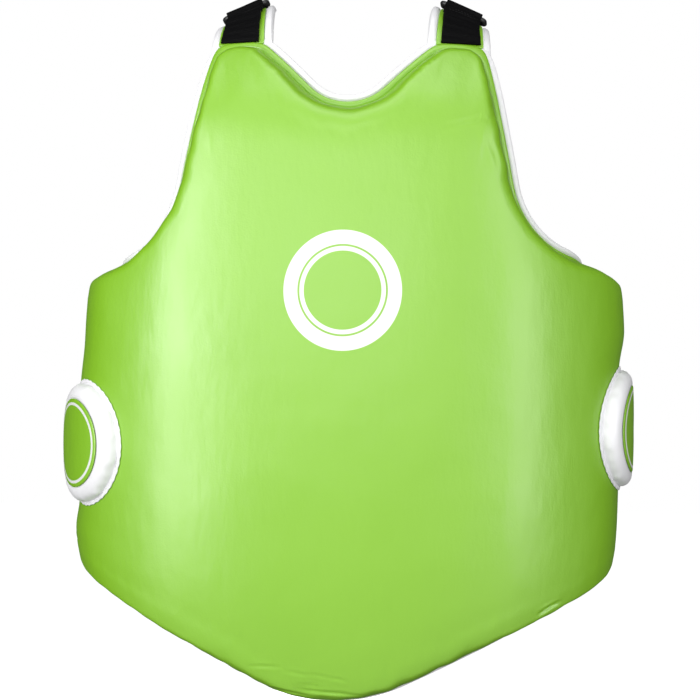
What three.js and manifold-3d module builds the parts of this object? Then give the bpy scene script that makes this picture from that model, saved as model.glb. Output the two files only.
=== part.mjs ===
// A belly pad that is worn like a vest: a foam front in green vinyl on a white lining, with two raised round
// side targets and black elastic straps over the shoulders.
// Millimetres, +Z up. The front faces -Y and the wearer's left is +X.
// The origin is the middle of the line between the two shoulder crests, where the straps lie on the shoulders.
// Every soft piece lies on one torso shape: "around" is the distance round the body from the middle of the front,
// "down" is the distance down the front from the shoulder crest (minus is down the back), "height" is outwards.
import * as THREE from "three";
import Module from "manifold-3d";

const wasm = await Module();
wasm.setup();

// Clear gap left between pieces that are sewn or glued together, and between a bar and the webbing round it.
const FIT_GAP = 0.3;
const LOOP_GAP = 0.7;

// The body's section as tangent arcs from the middle of the front round to the middle of the back.
const GIRTH = [
  { stretch: "front", radius: 462, sweep: 16 },
  { stretch: "ribs", radius: 142, sweep: 28 },
  { stretch: "flank", radius: 72, sweep: 46 },
  { stretch: "wing", radius: 225, sweep: 20 },
  { stretch: "back_corner", radius: 60, sweep: 60 },
  { stretch: "back", radius: 860, sweep: 10 },
];
// The line down the middle of the front as tangent arcs from the shoulder crest to the bottom point.
const FRONT_LINE = [
  { stretch: "shoulder", radius: 75, sweep: 60 },
  { stretch: "upper_chest", radius: 260, sweep: 26 },
  { stretch: "belly", radius: 2400, sweep: 7 },
  { stretch: "hem", radius: 1100, sweep: 10 },
];
// The line down the back from the same crest, ending in a straight drop.
const BACK_LINE = [
  { stretch: "shoulder", radius: 75, sweep: 55 },
  { stretch: "shoulder_blade", radius: 368, sweep: 35 },
  { stretch: "small_of_back", radius: 1e6, sweep: 1 },
];
// The shoulders slope: at the crest the section bends this many times as sharply as at the chest.
const CREST_BEND = 1.9;
const BACK_BEND = 0.54;
const CREST_REACH = 150;
const STRAP_AROUND = 100;

// The edge of the green pad on the flat pattern: the right half from the middle of the neck to the bottom point.
// Each corner is rounded to its radius. roll is how far in from the crease the foam takes to reach full height,
// rim says whether the lining's rolled rim stands up beside the hem, and arcs and lines are the steps drawn.
const OUTLINE = [
  { corner: "neck", around: 0, down: 176.5, radius: 45, roll: 17, rim: 1, arcs: 4, lines: 3 },
  { corner: "shoulder_inner", around: 77, down: 85, radius: 18, roll: 8, rim: 0, arcs: 3, lines: 1 },
  { corner: "shoulder_outer", around: 119.5, down: 85, radius: 18, roll: 8, rim: 0, arcs: 3, lines: 5 },
  { corner: "armhole", around: 159.4, down: 272, radius: 75, roll: 20, rim: 1, arcs: 4, lines: 6 },
  { corner: "wing_top", around: 336, down: 309.5, radius: 40, roll: 12, rim: 1, arcs: 2, lines: 6 },
  { corner: "wing_bottom", around: 336, down: 541, radius: 45, roll: 11, rim: 1, arcs: 2, lines: 25 },
  { corner: "bottom", around: 0, down: 705, radius: 182, roll: 24, rim: 1, arcs: 4, lines: 0 },
];

// Foam thickness down the front, and the share of it that is left towards the wing ends.
const FOAM_DOWN = [
  { down: 80, thick: 11 },
  { down: 115, thick: 19 },
  { down: 165, thick: 28 },
  { down: 255, thick: 36 },
  { down: 375, thick: 42 },
  { down: 560, thick: 42 },
  { down: 700, thick: 34 },
];
const FOAM_AROUND = [
  { around: 0, share: 1 },
  { around: 150, share: 1 },
  { around: 256, share: 0.87 },
  { around: 336, share: 0.65 },
];

// The pad's edge from the hem inwards: inset in millimetres plus a share of the roll, and the height as a share
// of the rise from hem to full foam.
const HEM_THICK = 4.2;
const PAD_EDGE = [
  { line: "hem_edge", inset: 0, roll: 0, rise: 0 },
  { line: "crease", inset: 6.5, roll: 0, rise: 0 },
  { line: "foam_wall", inset: 7, roll: 0.06, rise: 0.34 },
  { line: "foam_shoulder", inset: 7, roll: 0.34, rise: 0.75 },
  { line: "foam_top", inset: 7, roll: 1, rise: 1 },
];
// The lining and the rolled rim past the hem: outset past the green edge and height over the body-side surface.
const LINING_THICK = 4;
const RIM = [
  { line: "inner_foot", outset: 0.8, height: 1.8 },
  { line: "crown", outset: 5.6, height: 1.8 },
  { line: "outside", outset: 7, height: -1.4 },
];
const TAB_RIM = 6;
// Rows of the inner field lie closer together towards the shoulders, where the body bends most.
const FIELD_SPREAD = 1.6;
const LINING_LAP = 14;
const LAP_SINK = 0.7;

// Shoulder tabs, webbing and the moulded ring at the crest.
const TAB = { thick: 1.8, inner: 81, outer: 120, top: 8, rows: 7 };
const WEBBING = { width: 37, atRing: 35, thick: 1.8, backWidth: 37, foldBack: 26 };
const RING = { bar: 4.4, inside: 39, slot: 15, corner: 4.2, forward: 1.5 };
const BACK_STRAP_AROUND = 75;
const BELT = { tall: 75, thick: 2, middleDown: 424, sewnFrom: 300, seam: 4, steps: 14 };

// Raised round side targets on the flanks, each at its own place as they were sewn on by hand.
const TARGETS = [
  { name: "right", side: -1, around: 260, down: 461 },
  { name: "left", side: 1, around: 302, down: 443 },
];
const TARGET_LIFT = 38;
const TARGET_TURNS = 34;
const TARGET_BASE = [15, 30, 45];
const TARGET_WALL = [
  { line: "flange_foot", out: 58.5, height: 0 },
  { line: "flange_edge", out: 58.5, height: 1.6 },
  { line: "wall_foot", out: 54.5, height: 2.2 },
  { line: "wall_top", out: 45.2, height: 13.6 },
  { line: "top_edge", out: 43.2, height: 15 },
];
const FACE_RINGS = [14, 28, 42];
const FACE_THICK = 1.2;

const green = new THREE.MeshStandardMaterial({ color: 0x96d046, roughness: 0.4, metalness: 0 });
const white = new THREE.MeshStandardMaterial({ color: 0xf2f2ee, roughness: 0.5, metalness: 0 });
const elastic = new THREE.MeshStandardMaterial({ color: 0x17171a, roughness: 0.7, metalness: 0 });
const plastic = new THREE.MeshStandardMaterial({ color: 0x101012, roughness: 0.45, metalness: 0 });

// Where a chain of tangent arcs has got to after a length: bend tightens every arc, lift runs it that far outside.
function followArcs(rows, length, bend = 1, lift = 0) {
  const end = { along: 0, aside: 0, heading: 0, base: 0 };
  let left = length;
  rows.forEach((row, index) => {
    const radius = row.radius / bend + lift;
    const whole = radius * THREE.MathUtils.degToRad(row.sweep) * bend;
    const part = index === rows.length - 1 ? left : Math.min(left, whole);
    const turned = end.heading + part / radius;
    end.along += radius * (Math.sin(turned) - Math.sin(end.heading));
    end.aside += radius * (Math.cos(end.heading) - Math.cos(turned));
    end.base += (part * row.radius) / bend / radius;
    end.heading = turned;
    left -= part;
  });
  return end;
}

const CREST_LIFT = followArcs(GIRTH, STRAP_AROUND, CREST_BEND).aside;

// A point of the torso shape; with a lift, around is measured on the surface that far outside.
function torso(around, down, height, lift = 0) {
  const facing = down >= 0 ? -1 : 1;
  const line = followArcs(down >= 0 ? FRONT_LINE : BACK_LINE, Math.abs(down));
  const ease = THREE.MathUtils.smoothstep(Math.abs(down), 0, CREST_REACH);
  const bend = THREE.MathUtils.lerp(CREST_BEND, down >= 0 ? 1 : BACK_BEND, ease);
  const section = followArcs(GIRTH, Math.abs(around), bend, lift);
  const out = new THREE.Vector3(0, facing * Math.sin(line.heading), Math.cos(line.heading));
  const side = new THREE.Vector3(Math.sign(around), 0, 0);
  return new THREE.Vector3(0, facing * line.along, CREST_LIFT - line.aside)
    .addScaledVector(side, section.along + height * Math.sin(section.heading))
    .addScaledVector(out, lift - section.aside + height * Math.cos(section.heading));
}

// A smooth value between the rows of a table.
function blend(rows, key, value, at) {
  const last = rows.length - 1;
  if (at <= rows[0][key]) return rows[0][value];
  if (at >= rows[last][key]) return rows[last][value];
  const i = rows.findIndex((row) => row[key] > at) - 1;
  const slope = (k) => {
    const a = rows[Math.max(k - 1, 0)];
    const b = rows[Math.min(k + 1, last)];
    return (b[value] - a[value]) / (b[key] - a[key]);
  };
  const span = rows[i + 1][key] - rows[i][key];
  const t = (at - rows[i][key]) / span;
  const ease = t * t * (3 - 2 * t);
  const start = slope(i) * span * t * (1 - t) * (1 - t);
  const finish = slope(i + 1) * span * t * t * (t - 1);
  return rows[i][value] * (1 - ease) + rows[i + 1][value] * ease + start + finish;
}

function foamThick(around, down) {
  return blend(FOAM_DOWN, "down", "thick", down) * blend(FOAM_AROUND, "around", "share", Math.abs(around));
}

// One closed body, built up from loops of points.
class Body {
  constructor() {
    this.points = [];
    this.faces = [];
  }

  add(point) {
    this.points.push(point);
    return this.points.length - 1;
  }

  loop(list) {
    return list.map((point) => this.add(point));
  }

  quad(a, b, c, d) {
    this.faces.push([a, b, c], [a, c, d]);
  }

  // turned splits each four-sided face along its other diagonal; the second half of a loop mirrors the first.
  band(inner, outer, turned = false) {
    inner.forEach((start, k) => {
      const next = (k + 1) % inner.length;
      const otherWay = turned !== k >= inner.length / 2;
      if (otherWay) this.quad(inner[next], outer[next], outer[k], start);
      else this.quad(start, inner[next], outer[next], outer[k]);
    });
  }

  fan(middle, loop, turned) {
    loop.forEach((start, k) => {
      const next = loop[(k + 1) % loop.length];
      this.faces.push(turned ? [middle, start, next] : [middle, next, start]);
    });
  }

  // The two halves of a grid are split along mirrored diagonals.
  grid(rows, turned) {
    const half = (rows[0].length - 1) / 2;
    for (let j = 0; j + 1 < rows.length; j += 1) {
      for (let i = 0; i + 1 < rows[j].length; i += 1) {
        const corners = [rows[j + 1][i], rows[j + 1][i + 1], rows[j][i + 1], rows[j][i]];
        if (i < half) corners.push(corners.shift());
        const [a, b, c, d] = corners;
        if (turned) this.quad(a, d, c, b);
        else this.quad(a, b, c, d);
      }
    }
  }

  // Faces outwards whichever way round the loops were drawn.
  solid() {
    let volume = 0;
    this.faces.forEach(([a, b, c]) => {
      const [p, q, r] = [this.points[a], this.points[b], this.points[c]];
      volume += p.dot(new THREE.Vector3().crossVectors(q, r));
    });
    const faces = volume < 0 ? this.faces.map(([a, b, c]) => [a, c, b]) : this.faces;
    return new wasm.Manifold(
      new wasm.Mesh({
        numProp: 3,
        vertProperties: new Float32Array(this.points.flatMap((point) => point.toArray())),
        triVerts: new Uint32Array(faces.flat()),
      }),
    );
  }
}

const group = new THREE.Group();
group.name = "belly_pad";

function piece(name, solid, material) {
  const shape = solid.getMesh();
  const geometry = new THREE.BufferGeometry();
  geometry.setAttribute("position", new THREE.BufferAttribute(shape.vertProperties, shape.numProp));
  geometry.setIndex(new THREE.BufferAttribute(shape.triVerts, 1));
  geometry.computeVertexNormals();
  const mesh = new THREE.Mesh(geometry, material);
  mesh.name = name;
  group.add(mesh);
}

// The half outline as stations with the inward direction, roll and rim at each.
function halfOutline() {
  const mirrored = (row) => new THREE.Vector2(-row.around, row.down);
  const points = OUTLINE.map((row) => new THREE.Vector2(row.around, row.down));
  const last = points.length - 1;
  const corners = points.map((point, i) => {
    const before = i === 0 ? mirrored(OUTLINE[1]) : points[i - 1];
    const after = i === last ? mirrored(OUTLINE[last - 1]) : points[i + 1];
    const toBefore = before.clone().sub(point).normalize();
    const toAfter = after.clone().sub(point).normalize();
    const half = Math.acos(toBefore.dot(toAfter)) / 2;
    const radius = OUTLINE[i].radius;
    const middle = toBefore.clone().add(toAfter).normalize();
    const centre = point.clone().addScaledVector(middle, radius / Math.sin(half));
    const touch = radius / Math.tan(half);
    const begin = point.clone().addScaledVector(toBefore, touch).sub(centre).angle();
    const finish = point.clone().addScaledVector(toAfter, touch).sub(centre).angle();
    const sweep = Math.atan2(Math.sin(finish - begin), Math.cos(finish - begin));
    return { centre, radius, begin, sweep };
  });
  const stations = [];
  corners.forEach((corner, i) => {
    const row = OUTLINE[i];
    const first = i === 0 ? 0.5 : 0;
    const final = i === last ? 0.5 : 1;
    for (let k = 0; k <= row.arcs; k += 1) {
      const angle = corner.begin + corner.sweep * THREE.MathUtils.lerp(first, final, k / row.arcs);
      const out = new THREE.Vector2(Math.cos(angle), Math.sin(angle));
      stations.push({
        at: corner.centre.clone().addScaledVector(out, corner.radius),
        inward: out.multiplyScalar(corner.sweep > 0 ? -1 : 1),
        roll: row.roll,
        rim: row.rim,
      });
    }
    if (i === last) return;
    const from = stations[stations.length - 1];
    const next = corners[i + 1];
    const ahead = new THREE.Vector2(Math.cos(next.begin), Math.sin(next.begin));
    const to = next.centre.clone().addScaledVector(ahead, next.radius);
    for (let k = 1; k < row.lines; k += 1) {
      const t = k / row.lines;
      stations.push({
        at: from.at.clone().lerp(to, t),
        inward: from.inward.clone(),
        roll: THREE.MathUtils.lerp(row.roll, OUTLINE[i + 1].roll, t),
        rim: THREE.MathUtils.lerp(row.rim, OUTLINE[i + 1].rim, t),
      });
    }
  });
  return stations;
}

const half = halfOutline();
const otherHalf = half
  .slice(1, -1)
  .reverse()
  .map((s) => ({
    ...s,
    at: new THREE.Vector2(-s.at.x, s.at.y),
    inward: new THREE.Vector2(-s.inward.x, s.inward.y),
  }));
const stations = [...half, ...otherHalf];

// Station counts up to the middle of each wing corner, where the four sides of the inner field meet.
const topSteps = OUTLINE.slice(0, 4).reduce((sum, row) => sum + row.arcs + row.lines, 0) + OUTLINE[4].arcs / 2;
const endSteps = OUTLINE[4].arcs / 2 + OUTLINE[4].lines + OUTLINE[5].arcs / 2;
const wrap = (k) => (k + stations.length) % stations.length;
const bottomStation = (i) => stations.length - topSteps - endSteps - i;

// The flat loop at a distance in from the green edge; minus is outside it.
function flatLoop(inset, rollShare) {
  return stations.map((s) => s.at.clone().addScaledVector(s.inward, inset + rollShare * s.roll));
}

// Fills a flat loop with a field of points between its top, bottom and wing ends.
function flatField(loop) {
  const wide = 2 * topSteps;
  const top = (i) => loop[wrap(i - topSteps)];
  const bottom = (i) => loop[bottomStation(i)];
  const rows = [];
  for (let j = 0; j <= endSteps; j += 1) {
    const w = (j / endSteps) ** FIELD_SPREAD;
    const leftPull = loop[wrap(-topSteps - j)].clone().sub(top(0).clone().lerp(bottom(0), w));
    const rightPull = loop[topSteps + j].clone().sub(top(wide).clone().lerp(bottom(wide), w));
    const row = [];
    for (let i = 0; i <= wide; i += 1) {
      const u = i / wide;
      const point = top(i).clone().lerp(bottom(i), w);
      row.push(point.addScaledVector(leftPull, (1 - u) ** 6).addScaledVector(rightPull, u ** 6));
    }
    rows.push(row);
  }
  return rows;
}

// Adds the field inside a loop that is already in the body and returns its rows of point numbers.
function addField(body, flat, numbers, heightAt) {
  const wide = 2 * topSteps;
  return flatField(flat).map((row, j) =>
    row.map((point, i) => {
      if (j === 0) return numbers[wrap(i - topSteps)];
      if (j === endSteps) return numbers[bottomStation(i)];
      if (i === 0) return numbers[wrap(-topSteps - j)];
      if (i === wide) return numbers[topSteps + j];
      return body.add(torso(point.x, point.y, heightAt(point)));
    }),
  );
}

function addLoop(body, flat, heightAt) {
  return body.loop(flat.map((point, k) => torso(point.x, point.y, heightAt(point, stations[k]))));
}

// A sheet with a top and a bottom face of matching rows of points, closed round its edge.
function sheet(topRows, bottomRows) {
  const body = new Body();
  const top = topRows.map((row) => body.loop(row));
  const bottom = bottomRows.map((row) => body.loop(row));
  const edge = (rows) => {
    const last = rows[0].length - 1;
    const down = rows.slice(1).map((row) => row[last]);
    const back = rows[rows.length - 1].slice(0, -1).reverse();
    const up = rows.slice(1, -1).reverse().map((row) => row[0]);
    return [...rows[0], ...down, ...back, ...up];
  };
  body.grid(top, false);
  body.band(edge(top), edge(bottom));
  body.grid(bottom, true);
  return body.solid();
}

// The foam front: a full-height field, the rounded foam edge, the crease, the flat hem and a flat back.
const pad = new Body();
const padLoops = PAD_EDGE.map((row) => {
  const flat = flatLoop(row.inset, row.roll);
  const rise = (point) => HEM_THICK + (foamThick(point.x, point.y) - HEM_THICK) * row.rise;
  return { flat, numbers: addLoop(pad, flat, rise) };
}).reverse();
const fieldEdge = padLoops[0].flat;
pad.grid(addField(pad, fieldEdge, padLoops[0].numbers, (point) => foamThick(point.x, point.y)), false);
padLoops.slice(1).forEach((loop, k) => pad.band(padLoops[k].numbers, loop.numbers));
const hemEdge = flatLoop(0, 0);
const padBackEdge = addLoop(pad, hemEdge, () => 0);
const padBackField = addLoop(pad, fieldEdge, () => 0);
pad.band(padLoops[padLoops.length - 1].numbers, padBackEdge);
pad.band(padBackEdge, padBackField, true);
pad.grid(addField(pad, fieldEdge, padBackField, () => 0), true);
piece("front_pad", pad.solid(), green);

// The white lining behind the pad, with its rolled rim, and its two runs up under the shoulder tabs.
const liningFront = -FIT_GAP;
const liningBack = -FIT_GAP - LINING_THICK;
const lining = new Body();
const liningField = addLoop(lining, fieldEdge, () => liningFront);
const liningEdge = addLoop(lining, hemEdge, () => liningFront);
const rimLoops = RIM.map((row) =>
  addLoop(lining, flatLoop(-row.outset, 0), (point, station) =>
    THREE.MathUtils.lerp(Math.min(row.height, liningFront), row.height, station.rim),
  ),
);
const rimBack = addLoop(lining, flatLoop(-RIM[1].outset, 0), () => liningBack);
const liningBackField = addLoop(lining, fieldEdge, () => liningBack);
lining.grid(addField(lining, fieldEdge, liningField, () => liningFront), false);
const liningLoops = [liningField, liningEdge, ...rimLoops, rimBack, liningBackField];
liningLoops.slice(1).forEach((loop, k) => lining.band(liningLoops[k], loop));
lining.grid(addField(lining, fieldEdge, liningBackField, () => liningBack), true);

// The stations round the top of the left-hand shoulder lobe, where tab and lining go on upwards.
const lobeFirst = OUTLINE[0].arcs + OUTLINE[0].lines;
const lobeSteps = OUTLINE[1].arcs + OUTLINE[1].lines + OUTLINE[2].arcs;
const lobe = stations.slice(lobeFirst, lobeFirst + lobeSteps + 1);

// Rows of flat points from the tab's top edge down to the lobe, spread sideways by the rim.
function tabRows(rim, topDown, clear) {
  const rows = [];
  for (let j = 0; j <= TAB.rows; j += 1) {
    const t = j / TAB.rows;
    rows.push(
      lobe.map((station, k) => {
        const u = k / lobeSteps;
        const spread = rim * (2 * u - 1);
        const top = new THREE.Vector2(THREE.MathUtils.lerp(TAB.inner, TAB.outer, u) + spread, topDown);
        const foot = station.at.clone().addScaledVector(station.inward, -clear);
        foot.x += spread;
        return top.lerp(foot, t);
      }),
    );
  }
  return rows;
}

// The lining's run overlaps the lobe inside the lining's own thickness, so the two join as one body.
function liningRun(side) {
  const rows = tabRows(TAB_RIM, TAB.top - 4, -LINING_LAP);
  const sink = (j) => (j > TAB.rows - 2 ? LAP_SINK : 0);
  const face = (height, sign) =>
    rows.map((row, j) => row.map((point) => torso(side * point.x, point.y, height + sign * sink(j))));
  return sheet(face(liningFront, -1), face(liningBack, 1));
}
piece("back_panel", lining.solid().add(liningRun(1)).add(liningRun(-1)), white);

// The flat green tabs that go on from the lobes to the shoulder crest.
function shoulderTab(side) {
  const rows = tabRows(0, TAB.top, FIT_GAP);
  const face = (height) => rows.map((row) => row.map((point) => torso(side * point.x, point.y, height)));
  return sheet(face(TAB.thick), face(0));
}
piece("shoulder_tab_left", shoulderTab(1), green);
piece("shoulder_tab_right", shoulderTab(-1), green);

// How far a point over the body really moves for each millimetre down.
function downScale(around, down, height) {
  return torso(around, down + 0.5, height).distanceTo(torso(around, down - 0.5, height));
}

function acrossAt(around, down, height) {
  return torso(around + 1, down, height).sub(torso(around - 1, down, height)).normalize();
}

// One length of webbing: stations down the strap, each with a middle and the way its thickness faces.
// barWise turns the webbing from lying on the body to lying along the ring's bar.
function webbing(line, thick) {
  const face = (sign) =>
    line.map((s, i) => {
      const before = line[Math.max(i - 1, 0)];
      const after = line[Math.min(i + 1, line.length - 1)];
      const scale = downScale(s.around, s.down, s.height);
      const run = new THREE.Vector2((after.down - before.down) * scale, after.height - before.height).normalize();
      const down = s.down - (run.y * sign * (thick / 2)) / scale;
      const height = s.height + run.x * sign * (thick / 2);
      const middle = torso(s.around, down, height);
      const across = acrossAt(s.around, down, height);
      if (s.barWise) across.lerp(acrossAt(s.around, 0, 0), s.barWise).normalize();
      return [-1, 1].map((k) => middle.clone().addScaledVector(across, (k * s.width) / 2));
    });
  return sheet(face(1), face(-1));
}

// Heights over the body at the ring: the strap's folded end on the tab, the bar, and the strap over both.
const endHeight = TAB.thick + FIT_GAP + WEBBING.thick / 2;
const barHeight = TAB.thick + FIT_GAP + WEBBING.thick + LOOP_GAP + RING.bar / 2;
const wrapRadius = RING.bar / 2 + LOOP_GAP + WEBBING.thick / 2;
const overHeight = endHeight + WEBBING.thick + FIT_GAP;
const barScale = downScale(STRAP_AROUND, RING.forward, barHeight);
const rearBar = RING.forward - (RING.slot + RING.bar) / barScale;

// The stations of a strap that goes over a bar and folds back under itself.
// toward is 1 where the strap comes up the front and -1 where it comes up the back.
function barLoop(barDown, toward, width) {
  const at = (along, height) => ({ down: barDown + (toward * along) / barScale, height, width });
  const fold = WEBBING.foldBack;
  const points = [at(fold + 12, endHeight), at(fold + 3, overHeight - 0.2), at(fold - 5, overHeight + 0.3)];
  points.push(at(fold / 2, overHeight + 1.6));
  for (let k = 0; k <= 8; k += 1) {
    const angle = Math.PI * (0.4 + (k / 8) * 1.1);
    points.push(at(Math.cos(angle) * wrapRadius, barHeight + Math.sin(angle) * wrapRadius));
  }
  points.push(at(fold * 0.3, endHeight), at(fold * 0.65, endHeight), at(fold, endHeight));
  return points;
}

function frontStrap(side) {
  const line = [];
  const from = OUTLINE[1].down - 2 * FIT_GAP;
  const to = RING.forward + (WEBBING.foldBack + 20) / barScale;
  for (let k = 0; k <= 5; k += 1) {
    const t = k / 5;
    const width = THREE.MathUtils.lerp(WEBBING.width, WEBBING.atRing, t);
    line.push({ down: THREE.MathUtils.lerp(from, to, t), height: endHeight, width });
  }
  line.push(...barLoop(RING.forward, 1, WEBBING.atRing));
  return webbing(line.map((s) => ({ ...s, around: side * STRAP_AROUND })), WEBBING.thick);
}
piece("shoulder_strap_left", frontStrap(1), elastic);
piece("shoulder_strap_right", frontStrap(-1), elastic);

// The moulded ring lies flat over the crest, its front bar in the front strap and its rear bar in the back strap.
function ring(side) {
  const frontBar = torso(side * STRAP_AROUND, RING.forward, barHeight);
  const backBar = torso(side * STRAP_AROUND, rearBar, barHeight);
  const centre = frontBar.clone().add(backBar).multiplyScalar(0.5);
  const along = frontBar.clone().sub(backBar).normalize();
  const across = acrossAt(side * STRAP_AROUND, 0, 0);
  const up = new THREE.Vector3().crossVectors(across, along).normalize();
  const halfAcross = (RING.inside + RING.bar) / 2 - RING.corner;
  const halfAlong = frontBar.distanceTo(backBar) / 2 - RING.corner;
  const body = new Body();
  const sections = [];
  for (let corner = 0; corner < 4; corner += 1) {
    for (let k = 0; k <= 3; k += 1) {
      const angle = ((corner + k / 3) * Math.PI) / 2;
      const outward = across.clone().multiplyScalar(Math.cos(angle)).addScaledVector(along, Math.sin(angle));
      const at = centre
        .clone()
        .addScaledVector(across, corner === 0 || corner === 3 ? halfAcross : -halfAcross)
        .addScaledVector(along, corner < 2 ? halfAlong : -halfAlong)
        .addScaledVector(outward, RING.corner);
      const section = [];
      for (let n = 0; n < 10; n += 1) {
        const turn = (n / 10) * 2 * Math.PI;
        const spoke = outward.clone().multiplyScalar(Math.cos(turn)).addScaledVector(up, Math.sin(turn));
        section.push(at.clone().addScaledVector(spoke, RING.bar / 2));
      }
      sections.push(body.loop(section));
    }
  }
  sections.forEach((section, k) => body.band(section, sections[(k + 1) % sections.length]));
  return body.solid();
}
piece("strap_ring_left", ring(1), plastic);
piece("strap_ring_right", ring(-1), plastic);

// The elastic belt behind the back, its ends sewn inside the wing ends.
const fullGirth = GIRTH.reduce((sum, row) => sum + row.radius * THREE.MathUtils.degToRad(row.sweep), 0);
const beltOuter = liningBack - 2 * FIT_GAP;
function beltFace(height) {
  const rows = [];
  for (let k = -BELT.steps; k <= BELT.steps; k += 1) {
    const side = k < 0 ? -1 : 1;
    const around = THREE.MathUtils.lerp(fullGirth, BELT.sewnFrom, Math.abs(k) / BELT.steps);
    const middle = torso(side * around, BELT.middleDown, height);
    const free = THREE.MathUtils.smoothstep(around, OUTLINE[4].around, OUTLINE[4].around + BELT.tall);
    rows.push(
      [-0.5, 0.5].map((end) => {
        const onWing = torso(side * around, BELT.middleDown + end * BELT.tall, height);
        const upright = middle.clone().add(new THREE.Vector3(0, 0, -end * BELT.tall));
        return onWing.lerp(upright, free);
      }),
    );
  }
  return rows;
}
piece("back_belt", sheet(beltFace(beltOuter), beltFace(beltOuter - BELT.thick)), elastic);

// The back straps run from the rear bar down the back and are sewn to the outside of the belt.
const beltMiddle = torso(fullGirth, BELT.middleDown, beltOuter);
const strapFlat = torso(BACK_STRAP_AROUND, -600, 0);
function backStrap(side) {
  const line = [];
  const away = (WEBBING.foldBack + 30) / barScale;
  const below = followArcs(BACK_LINE, 600).aside - 600;
  const end = CREST_LIFT - below - (beltMiddle.z - BELT.tall / 2 + BELT.seam);
  const beltBulge = followArcs(GIRTH, fullGirth).aside - followArcs(GIRTH, fullGirth - BACK_STRAP_AROUND).aside;
  const sewn = beltMiddle.y - beltBulge + FIT_GAP + WEBBING.thick / 2 - strapFlat.y;
  for (let k = 0; k <= BELT.steps; k += 1) {
    const t = k / BELT.steps;
    const down = THREE.MathUtils.lerp(end, away - rearBar, t);
    const settle = THREE.MathUtils.smoothstep(down, away - rearBar, 300);
    line.push({ down: -down, height: THREE.MathUtils.lerp(endHeight, sewn, settle), width: WEBBING.backWidth });
  }
  line.push(...barLoop(rearBar, -1, WEBBING.atRing));
  const lean = (down) => THREE.MathUtils.smoothstep(-down, -rearBar, 320);
  const around = (s) => side * THREE.MathUtils.lerp(STRAP_AROUND, BACK_STRAP_AROUND, lean(s.down));
  const barWise = (s) => 1 - THREE.MathUtils.smoothstep(-s.down, WEBBING.foldBack - rearBar, 220);
  return webbing(line.map((s) => ({ ...s, around: around(s), barWise: barWise(s) })), WEBBING.thick);
}
piece("back_strap_left", backStrap(1), elastic);
piece("back_strap_right", backStrap(-1), elastic);

// Raised round pads on the flanks: rings of points on the pad's own surface, each at a height over it.
TARGETS.forEach((target) => {
  const at = (out, turn, height) => {
    const around = target.around + out * Math.cos(turn);
    const down = target.down + out * Math.sin(turn);
    const under = followArcs(GIRTH, around, 1, TARGET_LIFT).base;
    const over = foamThick(under, down) - TARGET_LIFT + FIT_GAP + height;
    return torso(target.side * around, down, over, TARGET_LIFT);
  };
  const circle = (body, out, height) => {
    const turns = [...Array(TARGET_TURNS).keys()].map((k) => (k / TARGET_TURNS) * 2 * Math.PI);
    return body.loop(turns.map((turn) => at(out, turn, height)));
  };
  const top = TARGET_WALL[TARGET_WALL.length - 1].height;
  const build = (underside, wall, topside) => {
    const body = new Body();
    const loops = [
      ...underside.map((row) => circle(body, row.out, row.height)),
      ...wall.map((row) => circle(body, row.out, row.height)),
      ...topside.map((row) => circle(body, row.out, row.height)),
    ];
    loops.slice(1).forEach((loop, k) => body.band(loops[k], loop));
    body.fan(body.add(at(0, 0, underside[0].height)), loops[0], false);
    body.fan(body.add(at(0, 0, topside[topside.length - 1].height)), loops[loops.length - 1], true);
    return body.solid();
  };
  const level = (outs, height) => outs.map((out) => ({ out, height }));
  const inwards = [...FACE_RINGS].reverse();
  piece(`side_target_${target.name}`, build(level(TARGET_BASE, 0), TARGET_WALL, level(inwards, top)), white);
  const low = top + FIT_GAP;
  piece(`target_face_${target.name}`, build(level(FACE_RINGS, low), [], level(inwards, low + FACE_THICK)), green);
});

export default group;
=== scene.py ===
import math

import bmesh
import bpy
import numpy as np
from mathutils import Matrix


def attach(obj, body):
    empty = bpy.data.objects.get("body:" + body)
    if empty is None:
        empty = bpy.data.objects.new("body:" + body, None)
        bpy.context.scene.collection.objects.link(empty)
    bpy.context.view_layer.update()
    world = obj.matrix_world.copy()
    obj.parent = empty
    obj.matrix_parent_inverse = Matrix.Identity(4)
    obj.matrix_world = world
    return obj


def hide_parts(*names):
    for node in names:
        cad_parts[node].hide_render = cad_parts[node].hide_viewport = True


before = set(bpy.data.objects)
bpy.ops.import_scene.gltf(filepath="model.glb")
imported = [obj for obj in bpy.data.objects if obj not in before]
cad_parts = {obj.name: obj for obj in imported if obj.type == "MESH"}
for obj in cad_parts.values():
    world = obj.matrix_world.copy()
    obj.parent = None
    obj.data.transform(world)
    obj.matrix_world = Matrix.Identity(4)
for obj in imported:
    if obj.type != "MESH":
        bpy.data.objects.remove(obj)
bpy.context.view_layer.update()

bpy.ops.object.select_all(action="DESELECT")


# The front: a thick slab of foam under glossy green vinyl, cut to a flat pattern. Its edge is turned in as
# a hem and sewn through to the lining, and the foam swells up behind that seam. It is drawn flat (x round
# the body, y down from the shoulder, z outwards) and then bent round the wearer.

# The wearer's torso in tangent arcs of a radius and a sweep: round it, down its front and down its back.
GIRTH = [(0.462, 16), (0.142, 28), (0.072, 46), (0.225, 20), (0.060, 60), (0.860, 10)]
FRONT_LINE = [(0.075, 60), (0.260, 26), (2.400, 7), (1.100, 10)]
BACK_LINE = [(0.075, 55), (0.368, 35), (1000, 1)]
CREST_BEND = 1.9
BACK_BEND = 0.54
CREST_REACH = 0.150
STRAP_AROUND = 0.100
SMALL_STEP = 0.001

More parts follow.
